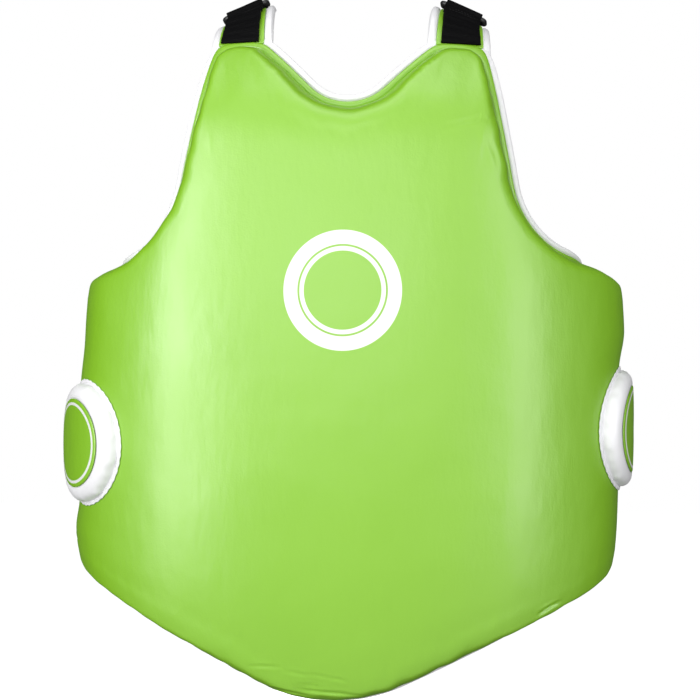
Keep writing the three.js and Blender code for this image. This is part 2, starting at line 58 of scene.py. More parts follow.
# The edge of the pattern at its corners: round the body, down and corner radius. Then the widths there of
# the foam's rounded edge, the hem and the white rim, how far the foam hangs over, how far the rim stands
# up, and how much of the rounded corner the hem fills again.
NECK_HEM = 0.0066
PATTERN_EDGE = [
    (0.0000, 0.1735, 0.045, 0.014, NECK_HEM, 0.0070, 0.000, 1.0, 0.0),
    (0.0775, 0.0900, 0.030, 0.011, 0.0072, 0.0070, 0.000, 0.4, 0.8),
    (0.1225, 0.0835, 0.028, 0.011, 0.0068, 0.0070, 0.000, 0.4, 0.8),
    (0.1598, 0.2712, 0.075, 0.0175, 0.0050, 0.0070, 0.000, 1.0, 0.0),
    (0.3360, 0.3095, 0.032, 0.012, 0.0044, 0.0060, 0.000, 1.0, 0.0),
    (0.3360, 0.5560, 0.012, 0.009, 0.0036, 0.0066, 0.000, 1.0, 0.0),
    (0.1900, 0.6085, 0.800, 0.011, 0.0034, 0.0060, 0.001, 1.0, 0.0),
    (0.0000, 0.6978, 0.148, 0.011, 0.0030, 0.0056, 0.003, 1.0, 0.0),
]
NECK, LOBE_INNER, LOBE_OUTER, ARMHOLE, WING_TOP, WING_BOTTOM, LOW_EDGE, TIP = range(8)

# The columns of the edge once it is drawn, after each point's place and its direction inwards.
ROLL, HEM, RIM, OVERHANG, STAND, FILLED = range(4, 10)
ARC_STEPS = 24
EDGE_POINTS = 300
ROLL_UNEVEN = 0.05
ROLL_WAVES = [(1.0, 150, -210, 0.5)]
HEM_UNEVEN = 0.06
HEM_WAVES = [(1.0, 310, 170, 0.0), (0.7, 190, -420, 1.3)]
HEM_EVEN_FROM = (0.26, 0.31)
RELAX_ROUNDS = 500
END_PULL = 6
TOUCHING = 1e-6

FOAM_DOWN = [
    (0.080, 0.011), (0.115, 0.019), (0.165, 0.028), (0.255, 0.036),
    (0.375, 0.042), (0.560, 0.042), (0.700, 0.034),
]
FOAM_AROUND = [(0.000, 1.00), (0.150, 1.00), (0.256, 0.87), (0.336, 0.65)]
HEM_THICK = 0.0042
EDGE_RISE = 0.89
EDGE_REACH = 0.050
EDGE_SLOWING = 2.5
EDGE_WIDTHS = (0.013, 0.021)
EDGE_STEEPNESS = (3.4, 2.4)

# What is not alike on both sides, and where it sets in: the tip lies aside, the right armhole is cut
# deeper, and the wings are filled unevenly.
TIP_ASIDE = 0.0080
TIP_DOWN = (0.54, 0.69)
ARMHOLE_DEEPER = 0.0090
ARMHOLE_AROUND = (0.125, 0.20)
ARMHOLE_BEGIN = (0.20, 0.26)
ARMHOLE_END = (0.31, 0.43)
WING_AROUND = (0.20, 0.27)
FULLER_LOW = 0.16
FULLER_LOW_DOWN = (0.515, 0.55)
FULLER_HIGH = 0.18
FULLER_HIGH_DOWN = (0.35, 0.39)
FLATTER_HIGH = 0.10
FLATTER_HIGH_DOWN = (0.36, 0.41)

# Where the side targets are sewn on: which side, round the body on the foam's surface, and down.
TARGETS = {"right": (-1, 0.260, 0.461), "left": (1, 0.302, 0.443)}
TARGET_LIFT = 0.038
TARGET_REACH = 0.0585


def follow_arcs(rows, length, bend=1.0, lift=0.0):
    """Follows tangent arcs for a length, that far outside: forward, aside, heading, length inside."""
    forward = aside = heading = inside = np.zeros_like(length)
    left = length
    for number, (radius, sweep) in enumerate(rows):
        reach = radius / bend + lift
        whole = reach * math.radians(sweep) * bend
        part = left if number == len(rows) - 1 else np.minimum(left, whole)
        turned = heading + part / reach
        forward = forward + reach * (np.sin(turned) - np.sin(heading))
        aside = aside + reach * (np.cos(heading) - np.cos(turned))
        inside = inside + part * radius / bend / reach
        heading = turned
        left = left - part
    return forward, aside, heading, inside


CREST_LIFT = follow_arcs(GIRTH, np.array([STRAP_AROUND]), CREST_BEND)[1][0]


def ease(value, start, end):
    t = np.clip((value - start) / (end - start), 0, 1)
    return t * t * (3 - 2 * t)


def waves(rows, x, y):
    """Waves over x and y: each row has a strength, how fast it runs along x and y, and its start."""
    return sum(row[0] * np.sin(row[1] * x + row[2] * y + row[3]) for row in rows)


def on_body(around, down, height, lift=0.0):
    """Points on the wearer's torso; with a lift, around is measured on the surface that far outside."""
    places = (np.asarray(value, dtype=float) for value in (around, down, height))
    around, down, height = np.broadcast_arrays(*places)
    front = down >= 0
    lines = [follow_arcs(rows, np.abs(down)) for rows in (FRONT_LINE, BACK_LINE)]
    forward, drop, lean = (np.where(front, a, b) for a, b in zip(lines[0][:3], lines[1][:3]))
    past_crest = ease(np.abs(down), 0, CREST_REACH)
    bend = CREST_BEND + (np.where(front, 1.0, BACK_BEND) - CREST_BEND) * past_crest
    width, depth, turn, _ = follow_arcs(GIRTH, np.abs(around), bend, lift)
    facing = np.where(front, -1.0, 1.0)
    out = lift - depth + height * np.cos(turn)
    x = np.sign(around) * (width + height * np.sin(turn))
    y = facing * (forward + out * np.sin(lean))
    z = CREST_LIFT - drop + out * np.cos(lean)
    return np.stack([x, y, z], axis=-1)


def smooth_table(rows, at):
    """A smooth value between the rows of a table."""
    keys, values = (np.array(column) for column in zip(*rows))
    slopes = np.gradient(values, keys)
    at = np.clip(at, keys[0], keys[-1])
    k = np.clip(np.searchsorted(keys, at, side="right") - 1, 0, len(keys) - 2)
    span = keys[k + 1] - keys[k]
    t = (at - keys[k]) / span
    rise = t * t * (3 - 2 * t)
    bow = slopes[k] * span * t * (1 - t) ** 2 - slopes[k + 1] * span * t * t * (1 - t)
    return values[k] * (1 - rise) + values[k + 1] * rise + bow


def foam_thick(around, down):
    return smooth_table(FOAM_DOWN, down) * smooth_table(FOAM_AROUND, np.abs(around))


def pattern_half():
    """Half the pattern's edge, neck to tip: place, direction inwards, and the widths there."""
    corners = np.array([row[:2] for row in PATTERN_EDGE])
    loop = np.vstack([corners[LOBE_INNER] * (-1, 1), corners, corners[LOW_EDGE] * (-1, 1)])
    rows = []
    for k, (_, _, radius, *widths, filled) in enumerate(PATTERN_EDGE):
        before, after = loop[k] - loop[k + 1], loop[k + 2] - loop[k + 1]
        before, after = before / np.linalg.norm(before), after / np.linalg.norm(after)
        half = math.acos(before @ after) / 2
        middle = (before + after) / np.linalg.norm(before + after)
        centre = loop[k + 1] + middle * radius / math.sin(half)
        first = loop[k + 1] + before * radius / math.tan(half) - centre
        last = loop[k + 1] + after * radius / math.tan(half) - centre
        begin = math.atan2(first[1], first[0])
        sweep = math.remainder(math.atan2(last[1], last[0]) - begin, math.tau)
        start, end = 0.5 if k == NECK else 0, 0.5 if k == TIP else 1
        for share in np.linspace(start, end, ARC_STEPS + 1):
            out = np.array([math.cos(begin + sweep * share), math.sin(begin + sweep * share)])
            corner = filled * radius * (1 / math.cos(abs(sweep) * min(share, 1 - share)) - 1)
            rows.append([*(centre + out * radius), *(-math.copysign(1, sweep) * out), *widths, corner])
    return np.array(rows)


def corner_middle(corner):
    """Which point of the drawn half edge is the middle of a corner."""
    return corner * (ARC_STEPS + 1) + ARC_STEPS // 2


def spaced(rows, count):
    """The same edge in equal steps."""
    steps = np.linalg.norm(np.diff(rows[:, :2], axis=0), axis=1)
    length = np.concatenate([[0], np.cumsum(steps)])
    at = np.linspace(0, length[-1], count + 1)
    return np.stack([np.interp(at, length, column) for column in rows.T], axis=1)


def mirrored(rows):
    return rows * (-1, 1, -1, 1, 1, 1, 1, 1, 1, 1)


def pattern_sides(columns, rows):
    """The four sides of the pattern's edge for a grid of that many columns and rows."""
    half = pattern_half()
    wing_top, wing_bottom = corner_middle(WING_TOP), corner_middle(WING_BOTTOM)
    top = spaced(half[: wing_top + 1], columns // 2)
    bottom = spaced(half[wing_bottom:], columns // 2)
    end = spaced(half[wing_top : wing_bottom + 1], rows)
    sides = (
        np.vstack([mirrored(top[::-1]), top[1:]]),
        np.vstack([mirrored(bottom), bottom[-2::-1]]),
        mirrored(end),
        end,
    )
    for side in sides:
        x, y = side[:, 0], side[:, 1]
        side[:, ROLL] *= 1 + ROLL_UNEVEN * waves(ROLL_WAVES, x, y)
        side[:, HEM] *= 1 + HEM_UNEVEN * waves(HEM_WAVES, x, y) * (1 - ease(np.abs(x), *HEM_EVEN_FROM))
    return sides


def inset(side, roll, hem, rim, over, more=0.0):
    """Places inside the edge by shares of its roll and hem, or outside by shares of rim and overhang."""
    shares = np.array([roll, hem, -rim, -over])
    distance = side[..., ROLL : OVERHANG + 1] @ shares + more - side[..., FILLED] * (1 - hem)
    return side[..., :2] + side[..., 2:4] * distance[..., None]


def from_edge(flat):
    """How far each place on the pattern is from the pattern's edge."""
    half = spaced(pattern_half(), EDGE_POINTS)[:, :2]
    edge = np.vstack([half, half * (-1, 1)])
    return np.min(np.hypot(flat[:, :1] - edge[:, 0], flat[:, 1:2] - edge[:, 1]), axis=1)


def even_out(grid):
    """Relaxes the inner points of a flat grid so that its lines meet the edge squarely."""
    for _ in range(RELAX_ROUNDS):
        across = grid[2:, 1:-1] - grid[:-2, 1:-1]
        along = grid[1:-1, 2:] - grid[1:-1, :-2]
        twist = grid[2:, 2:] - grid[2:, :-2] - grid[:-2, 2:] + grid[:-2, :-2]
        a = np.sum(along * along, axis=-1, keepdims=True)
        b = np.sum(across * along, axis=-1, keepdims=True)
        c = np.sum(across * across, axis=-1, keepdims=True)
        pull = a * (grid[2:, 1:-1] + grid[:-2, 1:-1])
        pull = pull + c * (grid[1:-1, 2:] + grid[1:-1, :-2]) - b * twist / 2
        grid[1:-1, 1:-1] = pull / (2 * (a + c))
    return grid


def read_points(piece, layer="position"):
    """Where the points of a piece are, or where they lay on the flat pattern."""
    points = np.empty(len(piece.data.vertices) * 3)
    piece.data.attributes[layer].data.foreach_get("vector", points)
    return points.reshape(-1, 3)


def write_points(piece, points):
    piece.data.vertices.foreach_set("co", np.asarray(points, dtype=float).ravel())
    piece.data.update()


def keep_pattern(piece, points):
    """Keeps the flat pattern on the piece, for what is printed, woven or pressed into it."""
    pattern = piece.data.attributes.new("pattern", "FLOAT_VECTOR", "POINT")
    pattern.data.foreach_set("vector", np.asarray(points, dtype=float).ravel())


def only(piece):
    bpy.ops.object.select_all(action="DESELECT")
    piece.select_set(True)
    bpy.context.view_layer.objects.active = piece


def edit(piece, selected="SELECT"):
    """Goes into edit mode with all points of a piece selected, or none."""
    only(piece)
    bpy.ops.object.mode_set(mode="EDIT")
    bpy.ops.mesh.select_all(action=selected)


def leave_edit():
    bpy.ops.object.mode_set(mode="OBJECT")


def select_points(piece, chosen):
    """Selects the chosen points of a piece and leaves it in edit mode."""
    edit(piece, "DESELECT")
    leave_edit()
    piece.data.vertices.foreach_set("select", chosen)
    bpy.ops.object.mode_set(mode="EDIT")


def mend(piece):
    """Merges the points that touch, turns the faces outwards and shades them smooth."""
    edit(piece)
    bpy.ops.mesh.remove_doubles(threshold=TOUCHING)
    bpy.ops.mesh.normals_make_consistent(inside=False)
    leave_edit()
    bpy.ops.object.shade_smooth()


def add_modifier(piece, kind, **settings):
    """Adds a modifier with its settings and applies it."""
    only(piece)
    bpy.ops.object.modifier_add(type=kind)
    modifier = piece.modifiers[-1]
    for key, value in settings.items():
        setattr(modifier, key, value)
    bpy.ops.object.modifier_apply(modifier=modifier.name)


def grid_sheet(name, columns, rows):
    """A flat grid to be laid out, with each point's place in it from 0 to 1."""
    bpy.ops.mesh.primitive_grid_add(x_subdivisions=columns, y_subdivisions=rows, size=1, calc_uvs=False)
    piece = bpy.context.object
    piece.name = piece.data.name = name
    return piece, read_points(piece)[:, :2] + 0.5


def number_selected(piece, number):
    """Notes on the selected points which ring of the edge they are."""
    mesh = bmesh.from_edit_mesh(piece.data)
    layer = mesh.verts.layers.int["ring"]
    for vert in mesh.verts:
        if vert.select:
            vert[layer] = number
    bmesh.update_edit_mesh(piece.data)


def pattern_piece(name, columns, rows, edge_rings, face_height, hidden_height, hidden_share):
    """A closed flat piece on the pattern: the shown face, its edge ring by ring, and a hidden face."""
    piece, _ = grid_sheet(name, columns, rows)
    piece.data.attributes.new("ring", "INT", "POINT")
    hidden_ring = len(edge_rings) + 1
    edit(piece)
    bpy.ops.mesh.duplicate_move()
    number_selected(piece, hidden_ring)
    bpy.ops.mesh.select_all(action="INVERT")
    bpy.ops.mesh.region_to_loop()
    for ring in range(1, hidden_ring):
        bpy.ops.mesh.extrude_edges_move()
        number_selected(piece, ring)
    leave_edit()

    place = read_points(piece)
    ring = np.empty(len(place), dtype=np.int32)
    piece.data.attributes["ring"].data.foreach_get("value", ring)
    i = np.rint((place[:, 0] + 0.5) * columns).astype(int)
    j = rows - np.rint((place[:, 1] + 0.5) * rows).astype(int)
    top, bottom, right, left = pattern_sides(columns, rows)
    edges = np.zeros((columns + 1, rows + 1, top.shape[1]))
    edges[0], edges[-1] = right, left
    edges[:, 0], edges[:, -1] = top, bottom
    nearest = edges[i, j]

    above, below, first, last = (inset(side, 1, 1, 0, 0) for side in (top, bottom, right, left))
    w = np.linspace(0, 1, rows + 1)[None, :, None]
    u = np.linspace(0, 1, columns + 1)[:, None, None]
    grid = above[:, None] * (1 - w) + below[:, None] * w
    grid = grid + (first[None] - above[0] * (1 - w) - below[0] * w) * (1 - u) ** END_PULL
    grid = grid + (last[None] - above[-1] * (1 - w) - below[-1] * w) * u**END_PULL
    flat = even_out(grid)[i, j]
    height = face_height(flat)
    for number, (*shares, ring_height) in enumerate(edge_rings, start=1):
        here = ring == number
        flat[here] = inset(nearest[here], *shares)
        height[here] = ring_height(flat[here], nearest[here])
    height[ring == hidden_ring] = hidden_height
    write_points(piece, np.column_stack([flat, height]))

    inner = (ring == hidden_ring) & (i > 1) & (i < columns - 1) & (j > 1) & (j < rows - 1)
    select_points(piece, inner)
    bpy.ops.mesh.decimate(ratio=hidden_share)
    leave_edit()
    mend(piece)
    keep_pattern(piece, read_points(piece))
    return piece


def as_sewn(points):
    """Places on the flat pattern as they came out in the sewing, not quite alike on both sides."""
    x, y, z = np.asarray(points, dtype=float).T
    deeper = ease(-x, *ARMHOLE_AROUND) * ease(y, *ARMHOLE_BEGIN) * (1 - ease(y, *ARMHOLE_END))
    on_right, on_left = ease(-x, *WING_AROUND), ease(x, *WING_AROUND)
    fuller = FULLER_LOW * on_right * ease(y, *FULLER_LOW_DOWN)
    fuller = fuller + FULLER_HIGH * on_left * (1 - ease(y, *FULLER_HIGH_DOWN))
    fuller = fuller - FLATTER_HIGH * on_right * (1 - ease(y, *FLATTER_HIGH_DOWN))
    x = x - TIP_ASIDE * ease(y, *TIP_DOWN)
    return np.stack([x, y + ARMHOLE_DEEPER * deeper, z + fuller * np.maximum(z, 0)], axis=-1)


def bend_round_body(piece):
    """Bends a flat piece round the wearer and turns its faces outwards."""
    points = as_sewn(read_points(piece))
    write_points(piece, on_body(*points.T))
    edit(piece)
    bpy.ops.mesh.flip_normals()
    leave_edit()


def foam_rise(share, inside, flat, roll):
    """The foam's surface: a rounded edge beside the seam, softer where it is wide, then a slow rise."""
    slow = 1 - (1 - np.clip(inside / EDGE_REACH, 0, 1)) ** EDGE_SLOWING
    steep = np.interp(roll, EDGE_WIDTHS, EDGE_STEEPNESS)
    rise = EDGE_RISE * (1 - (1 - share) ** steep) + (1 - EDGE_RISE) * slow
    return HEM_THICK + (foam_thick(*flat.T) - HEM_THICK) * rise


def foam_ring(share):
    return lambda flat, edge: foam_rise(share, share * edge[:, ROLL], flat, edge[:, ROLL])


def foam_face(flat):
    return foam_rise(1.0, from_edge(flat) - NECK_HEM, flat, 0.0)


def level(height):
    return lambda flat, edge=None: np.full(len(flat), height)


# The edge ring by ring: shares of the roll, hem, rim and overhang, a little more, and the height. The
# foam rolls down to the seam, the hem lies flat beside it, and its edge is turned in under it.
ROLL_STEPS = [(0.74, 0.08), (0.52, 0.28), (0.34, 0.56), (0.20, 0.84), (0.10, 1.0), (0.03, 0.6)]
foam_roll = [(share, 1, 0, over, 0, foam_ring(share)) for share, over in ROLL_STEPS]
hem = [
    (0, 1, 0, 0, -0.0003, level(HEM_THICK - 0.0016)),
    (0, 1, 0, 0, -0.0009, level(HEM_THICK - 0.0002)),
    (0, 0.5, 0, 0, 0.0001, level(HEM_THICK + 0.0004)),
    (0, 0, 0, 0, 0.0007, level(HEM_THICK - 0.0003)),
    (0, 0, 0, 0, 0.0001, level(HEM_THICK - 0.0012)),
    (0, 0, 0, 0, 0.0001, level(0.0006)),
    (0, 0, 0, 0, 0.0008, level(0.0)),
    (1, 1, 0, 0, 0, level(0.0)),
]
front = pattern_piece(
    "front_cover",
    columns=148,
    rows=112,
    edge_rings=foam_roll + hem,
    face_height=foam_face,
    hidden_height=0.0,
    hidden_share=0.06,
)
bend_round_body(front)

# The stuffed cover swells in a band along its edge. The hem, the middle, the armholes and the vinyl under
# the targets are held.
HEM_HELD_TO = HEM_THICK + 0.0006
SWELL_BAND = (0.022, 0.045)
TARGET_HELD = (TARGET_REACH, TARGET_REACH + 0.04)
ARMHOLE_HELD = (0.06, 0.11)
SWELL_STEPS = 20


def swell(piece, sewn, pressure, slack, most):
    """Lets the cover swell as stuffed cloth does; sewn, from 0 to 1, is how firmly each point is held."""
    start = read_points(piece)
    only(piece)
    group = piece.vertex_groups.new(name="sewn")
    for number, weight in enumerate(sewn):
        group.add([number], float(weight), "REPLACE")
    bpy.ops.object.modifier_add(type="CLOTH")
    cloth = piece.modifiers[-1]
    cloth.settings.vertex_group_mass = group.name
    cloth.settings.use_pressure = True
    cloth.settings.uniform_pressure_force = pressure
    cloth.settings.shrink_min = -slack
    cloth.settings.bending_stiffness = 1.0
    cloth.settings.effector_weights.gravity = 0
    for step in range(1, SWELL_STEPS + 1):
        bpy.context.scene.frame_set(step)
    bpy.ops.object.modifier_apply(modifier=cloth.name)
    bpy.context.scene.frame_set(1)
    piece.vertex_groups.clear()
    moved = read_points(piece) - start
    far = np.maximum(np.linalg.norm(moved, axis=1, keepdims=True), 1e-9)
    write_points(piece, start + moved * most * np.tanh(far / most) / far)


flat = read_points(front, "pattern")
sewn = np.where(flat[:, 2] < HEM_HELD_TO, 1.0, ease(from_edge(flat), *SWELL_BAND))
for side, around, down in TARGETS.values():
    under = follow_arcs(GIRTH, np.array([around]), 1.0, TARGET_LIFT)[3][0]
    away = np.hypot(flat[:, 0] - side * under, flat[:, 1] - down)
    sewn = np.maximum(sewn, 1 - ease(away, *TARGET_HELD))
armhole_around, armhole_down = PATTERN_EDGE[ARMHOLE][:2]
away = np.hypot(np.abs(flat[:, 0]) - armhole_around, flat[:, 1] - armhole_down)
sewn = np.maximum(sewn, 1 - ease(away, *ARMHOLE_HELD))
swell(front, sewn, pressure=4.0, slack=0.004, most=0.0009)
add_modifier(front, "SUBSURF", levels=1, render_levels=1)

# Small folds that the turning, packing and sewing have left: place, slope in degrees, half length, width
# and depth. Each is a groove between two low lips, and sags a little.
FOLDS = [
    (-0.0540, 0.6460, -2, 0.018, 0.0019, 0.0007),
    (-0.0260, 0.6510, 10, 0.014, 0.0018, 0.0006),
    (-0.0080, 0.6525, 10, 0.015, 0.0018, 0.0006),
    (0.0080, 0.6555, 10, 0.010, 0.0018, 0.0006),
    (-0.0370, 0.6690, 8, 0.030, 0.0022, 0.0011),
    (0.0020, 0.6685, 4, 0.034, 0.0022, 0.0011),
    (-0.0150, 0.6620, 8, 0.014, 0.0018, 0.0005),
    (0.1720, 0.5980, -28, 0.013, 0.0026, 0.0016),
    (0.1040, 0.1720, -14, 0.030, 0.0032, 0.0006),
    (0.0530, 0.1330, 30, 0.008, 0.0018, 0.0006),
    (0.0610, 0.1250, 50, 0.008, 0.0018, 0.0007),
    (0.0680, 0.1175, 36, 0.007, 0.0018, 0.0006),
    (0.0460, 0.1400, 44, 0.007, 0.0018, 0.0005),
    (0.1250, 0.2000, 74, 0.016, 0.0036, 0.0005),
    (-0.0560, 0.1300, -40, 0.008, 0.0020, 0.0005),
    (-0.2500, 0.5560, 24, 0.018, 0.0030, 0.0008),
    (0.2620, 0.5500, -22, 0.020, 0.0030, 0.0008),
]
FOLD_SAG = 0.5
FOLD_LIPS = 1.6
FINE_ALONG = 1.2
FINE_ACROSS = 4
FINE_FROM = HEM_THICK + 0.001
FOLDS_FULL_FROM = HEM_THICK + 0.004


def from_fold(flat, around, down, slope, reach, width):
    """Places along and across a fold in shares of its half length and width."""
    turn = math.radians(slope)
    along = ((flat[:, 0] - around) * math.cos(turn) + (flat[:, 1] - down) * math.sin(turn)) / reach
    across = ((flat[:, 1] - down) * math.cos(turn) - (flat[:, 0] - around) * math.sin(turn)) / width
    return along, across - FOLD_SAG * along**2


flat = read_points(front, "pattern")
near = np.zeros(len(flat), dtype=bool)
for *place, depth in FOLDS:
    along, across = from_fold(flat, *place)
    near |= (np.abs(along) < FINE_ALONG) & (np.abs(across) < FINE_ACROSS) & (flat[:, 2] > FINE_FROM)
select_points(front, near)
bpy.ops.mesh.subdivide(number_cuts=1, smoothness=1.0)
leave_edit()
flat = read_points(front, "pattern")
dent = np.zeros(len(flat))
for *place, depth in FOLDS:
    along, across = from_fold(flat, *place)
    groove = (1 - FOLD_LIPS * across**2) * np.exp(-(across**2))
    dent -= depth * np.clip(1 - along**2, 0, 1) ** 2 * groove
dent *= ease(flat[:, 2], HEM_THICK, FOLDS_FULL_FROM)
outward = on_body(*(flat + (0, 0, SMALL_STEP)).T) - on_body(*flat.T)
write_points(front, read_points(front) + outward * (dent / SMALL_STEP)[:, None])


def new_finish(name):
    finish = bpy.data.materials.new(name)
    finish.use_nodes = True
    return finish


def feed(finish, socket, value):
    """Gives a socket its value or another node's output."""
    if isinstance(value, bpy.types.NodeSocket):
        finish.node_tree.links.new(value, socket)
    else:
        socket.default_value = value


def add_node(finish, kind, inputs=(), **settings):
    """Adds a node; inputs are values or other nodes' outputs, by number or name."""
    node = finish.node_tree.nodes.new(kind)
    for key, value in settings.items():
        setattr(node, key, value)
    for key, value in dict(inputs).items():
        feed(finish, node.inputs[key], value)
    return node


def set_surface(finish, **inputs):
    """Sets the inputs of a finish's own surface shader."""
    surface = finish.node_tree.nodes["Principled BSDF"]
    for key, value in inputs.items():
        feed(finish, surface.inputs[key.replace("_", " ")], value)


def mixed(finish, share, first, second):
    """A colour between two, each a colour or another node's output."""
    node = add_node(finish, "ShaderNodeMix", data_type="RGBA")
    for number, value in ((0, share), (6, first), (7, second)):
        feed(finish, node.inputs[number], value)
    return node.outputs[2]


def spots_on(finish):
    return add_node(finish, "ShaderNodeTexCoord").outputs["Object"]


def pattern_on(finish):
    return add_node(finish, "ShaderNodeAttribute", attribute_name="pattern").outputs["Vector"]


def clouds(finish, spots, scale, detail=2.0, rough=0.5):
    inputs = {"Vector": spots, "Scale": scale, "Detail": detail, "Roughness": rough}
    return add_node(finish, "ShaderNodeTexNoise", inputs).outputs["Fac"]


def ranged(finish, value, start, end, first, last):
    """Turns a value between start and end into one between first and last."""
    inputs = {"Value": value, "From Min": start, "From Max": end, "To Min": first, "To Max": last}
    return add_node(finish, "ShaderNodeMapRange", inputs).outputs[0]


def bumps(finish, height, depth, strength=1.0, under=None):
    """Bumps pressed into the surface, on top of those under them."""
    inputs = {"Strength": strength, "Distance": depth, "Height": height}
    if under is not None:
        inputs["Normal"] = under
    return add_node(finish, "ShaderNodeBump", inputs).outputs[0]


RIPPLE_SHARE = 0.3


def vinyl_relief(finish, spots, grain_depth, dent_depth):
    """Soft dents of the stuffing, upright ripples, and the fine pebble grain pressed into the vinyl."""
    stuffing = clouds(finish, spots, scale=16.0, rough=0.45)
    dents = bumps(finish, stuffing, depth=dent_depth)
    upright = add_node(finish, "ShaderNodeMapping", {"Vector": spots, "Scale": (1, 1, 0.35)}).outputs[0]
    creases = clouds(finish, upright, scale=70.0, detail=3.0, rough=0.55)
    ripples = bumps(finish, creases, depth=dent_depth * RIPPLE_SHARE, under=dents)
    pebbles = {"Vector": spots, "Scale": 620.0}
    grain = add_node(finish, "ShaderNodeTexVoronoi", pebbles, feature="SMOOTH_F1").outputs["Distance"]
    return bumps(finish, grain, depth=grain_depth, under=ripples)


GREEN = (0.194, 0.436, 0.006, 1)
GREEN_DEEP = (0.180, 0.416, 0.004, 1)
INK = (0.70, 0.71, 0.69, 1)
INK_EDGE = 0.0003
PRINT_REACH = 0.06


def green_vinyl(name, rings=(), centre=(0, 0), stretch=1.0):
    """Green vinyl; rings are pairs of radii printed white round a centre, on vinyl stretched sideways."""
    finish = new_finish(name)
    spots = spots_on(finish)
    patches = clouds(finish, spots, scale=9.0, detail=3.0)
    colour = mixed(finish, patches, GREEN_DEEP, GREEN)
    if rings:
        stretched = {0: pattern_on(finish), 1: (stretch, 1, 0)}
        flat = add_node(finish, "ShaderNodeVectorMath", stretched, operation="MULTIPLY").outputs[0]
        to_centre = {0: flat, 1: (*centre, 0)}
        away = add_node(finish, "ShaderNodeVectorMath", to_centre, operation="DISTANCE").outputs["Value"]
        share = add_node(finish, "ShaderNodeMath", {0: away, 1: PRINT_REACH}, operation="DIVIDE")
        ink = add_node(finish, "ShaderNodeValToRGB", {"Fac": share.outputs[0]})
        stops = ink.color_ramp.elements
        stops[0].color = stops[1].color = (0, 0, 0, 1)
        for inner, outer in rings:
            for radius, white in ((inner, 0), (inner + INK_EDGE, 1), (outer, 1), (outer + INK_EDGE, 0)):
                stops.new(radius / PRINT_REACH).color = (white, white, white, 1)
        colour = mixed(finish, ink.outputs["Color"], colour, INK)
    set_surface(
        finish,
        Base_Color=colour,
        Roughness=ranged(finish, patches, 0.3, 0.7, first=0.36, last=0.44),
        Specular_IOR_Level=0.95,
        Coat_Weight=0.20,
        Coat_Roughness=0.34,
        Normal=vinyl_relief(finish, spots, grain_depth=0.00004, dent_depth=0.0016),
    )
    return finish


# The chest is printed with plain white rings, a broad one and a thin one inside it.
CHEST_PRINT = [(0.0338, 0.0376), (0.0394, 0.0516)]
CHEST_MIDDLE = (0.0015, 0.321)
CHEST_STRETCH = 1.09
front_green = green_vinyl("printed_green_vinyl", CHEST_PRINT, CHEST_MIDDLE, CHEST_STRETCH)
front.data.materials.append(front_green)
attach(front, "root")
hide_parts("front_pad")


# The lining: white vinyl over the whole body side of the pad, sewn to the hem with white thread. Its edge
# is rolled and stands out past the green hem as a white rim, and two strips of it run on up the shoulders
# under the green tabs.
LINING_BODY_SIDE = -0.0043
LINING_PAD_SIDE = -0.0003


def rim(height):
    low = min(height, LINING_PAD_SIDE)
    return lambda flat, edge: low + (height - low) * edge[:, STAND]


# The rolled rim in section: shares of its width, and heights.
RIM_STEPS = [
    (0.43, level(LINING_BODY_SIDE - 0.0001)),
    (0.77, level(LINING_BODY_SIDE + 0.0003)),
    (0.96, level(-0.0027)),
    (1.00, rim(-0.0010)),
    (0.94, rim(0.0007)),
    (0.76, rim(0.0019)),
    (0.49, rim(0.0023)),
    (0.25, rim(0.0019)),
    (0.13, rim(0.0009)),
    (0.10, level(LINING_PAD_SIDE)),
]
lining_edge = [(0, 0, 0, 0, 0.0040, level(LINING_BODY_SIDE))]
lining_edge += [(0, 0, share, 0, 0, height) for share, height in RIM_STEPS]
lining_edge += [(1, 1, 0, 0, 0, level(LINING_PAD_SIDE))]
lining = pattern_piece(
    "lining",
    columns=140,
    rows=60,
    edge_rings=lining_edge,
    face_height=level(LINING_BODY_SIDE),
    hidden_height=LINING_PAD_SIDE,
    hidden_share=0.1,
)
bend_round_body(lining)
add_modifier(lining, "SUBSURF", levels=1, render_levels=1)

WHITE = (0.74, 0.74, 0.75, 1)
WHITE_DULL = (0.68, 0.68, 0.70, 1)


def white_vinyl(name):
    finish = new_finish(name)
    spots = spots_on(finish)
    patches = clouds(finish, spots, scale=14.0, detail=3.0)
    set_surface(
        finish,
        Base_Color=mixed(finish, patches, WHITE_DULL, WHITE),
        Roughness=ranged(finish, patches, 0.3, 0.7, first=0.40, last=0.50),
        Normal=vinyl_relief(finish, spots, grain_depth=0.00006, dent_depth=0.0012),
    )
    return finish


lining_white = white_vinyl("white_vinyl")
lining.data.materials.append(lining_white)
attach(lining, "root")
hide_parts("back_panel")

# Stitches: their pitch and thickness, and the share of the pitch that shows before the thread dives.
LINING_STITCH = (0.0045, 0.0009)
STITCH_SHOWN = 0.74
THREAD_PROUD = 0.0002


def bands(finish, spots, direction, scale, wobble, detail=2.0):
    inputs = {"Vector": spots, "Scale": scale, "Distortion": wobble, "Detail": detail}
    return add_node(finish, "ShaderNodeTexWave", inputs, bands_direction=direction).outputs["Fac"]


def thread(name, dark, light):
    """Twisted sewing thread."""
    finish = new_finish(name)
    strands = bands(finish, spots_on(finish), "DIAGONAL", scale=900.0, wobble=1.5)
    set_surface(
        finish,
        Base_Color=mixed(finish, strands, dark, light),
        Roughness=0.7,
        Normal=bumps(finish, strands, depth=0.0001, strength=0.6),
        Specular_IOR_Level=0.2,
    )
    return finish


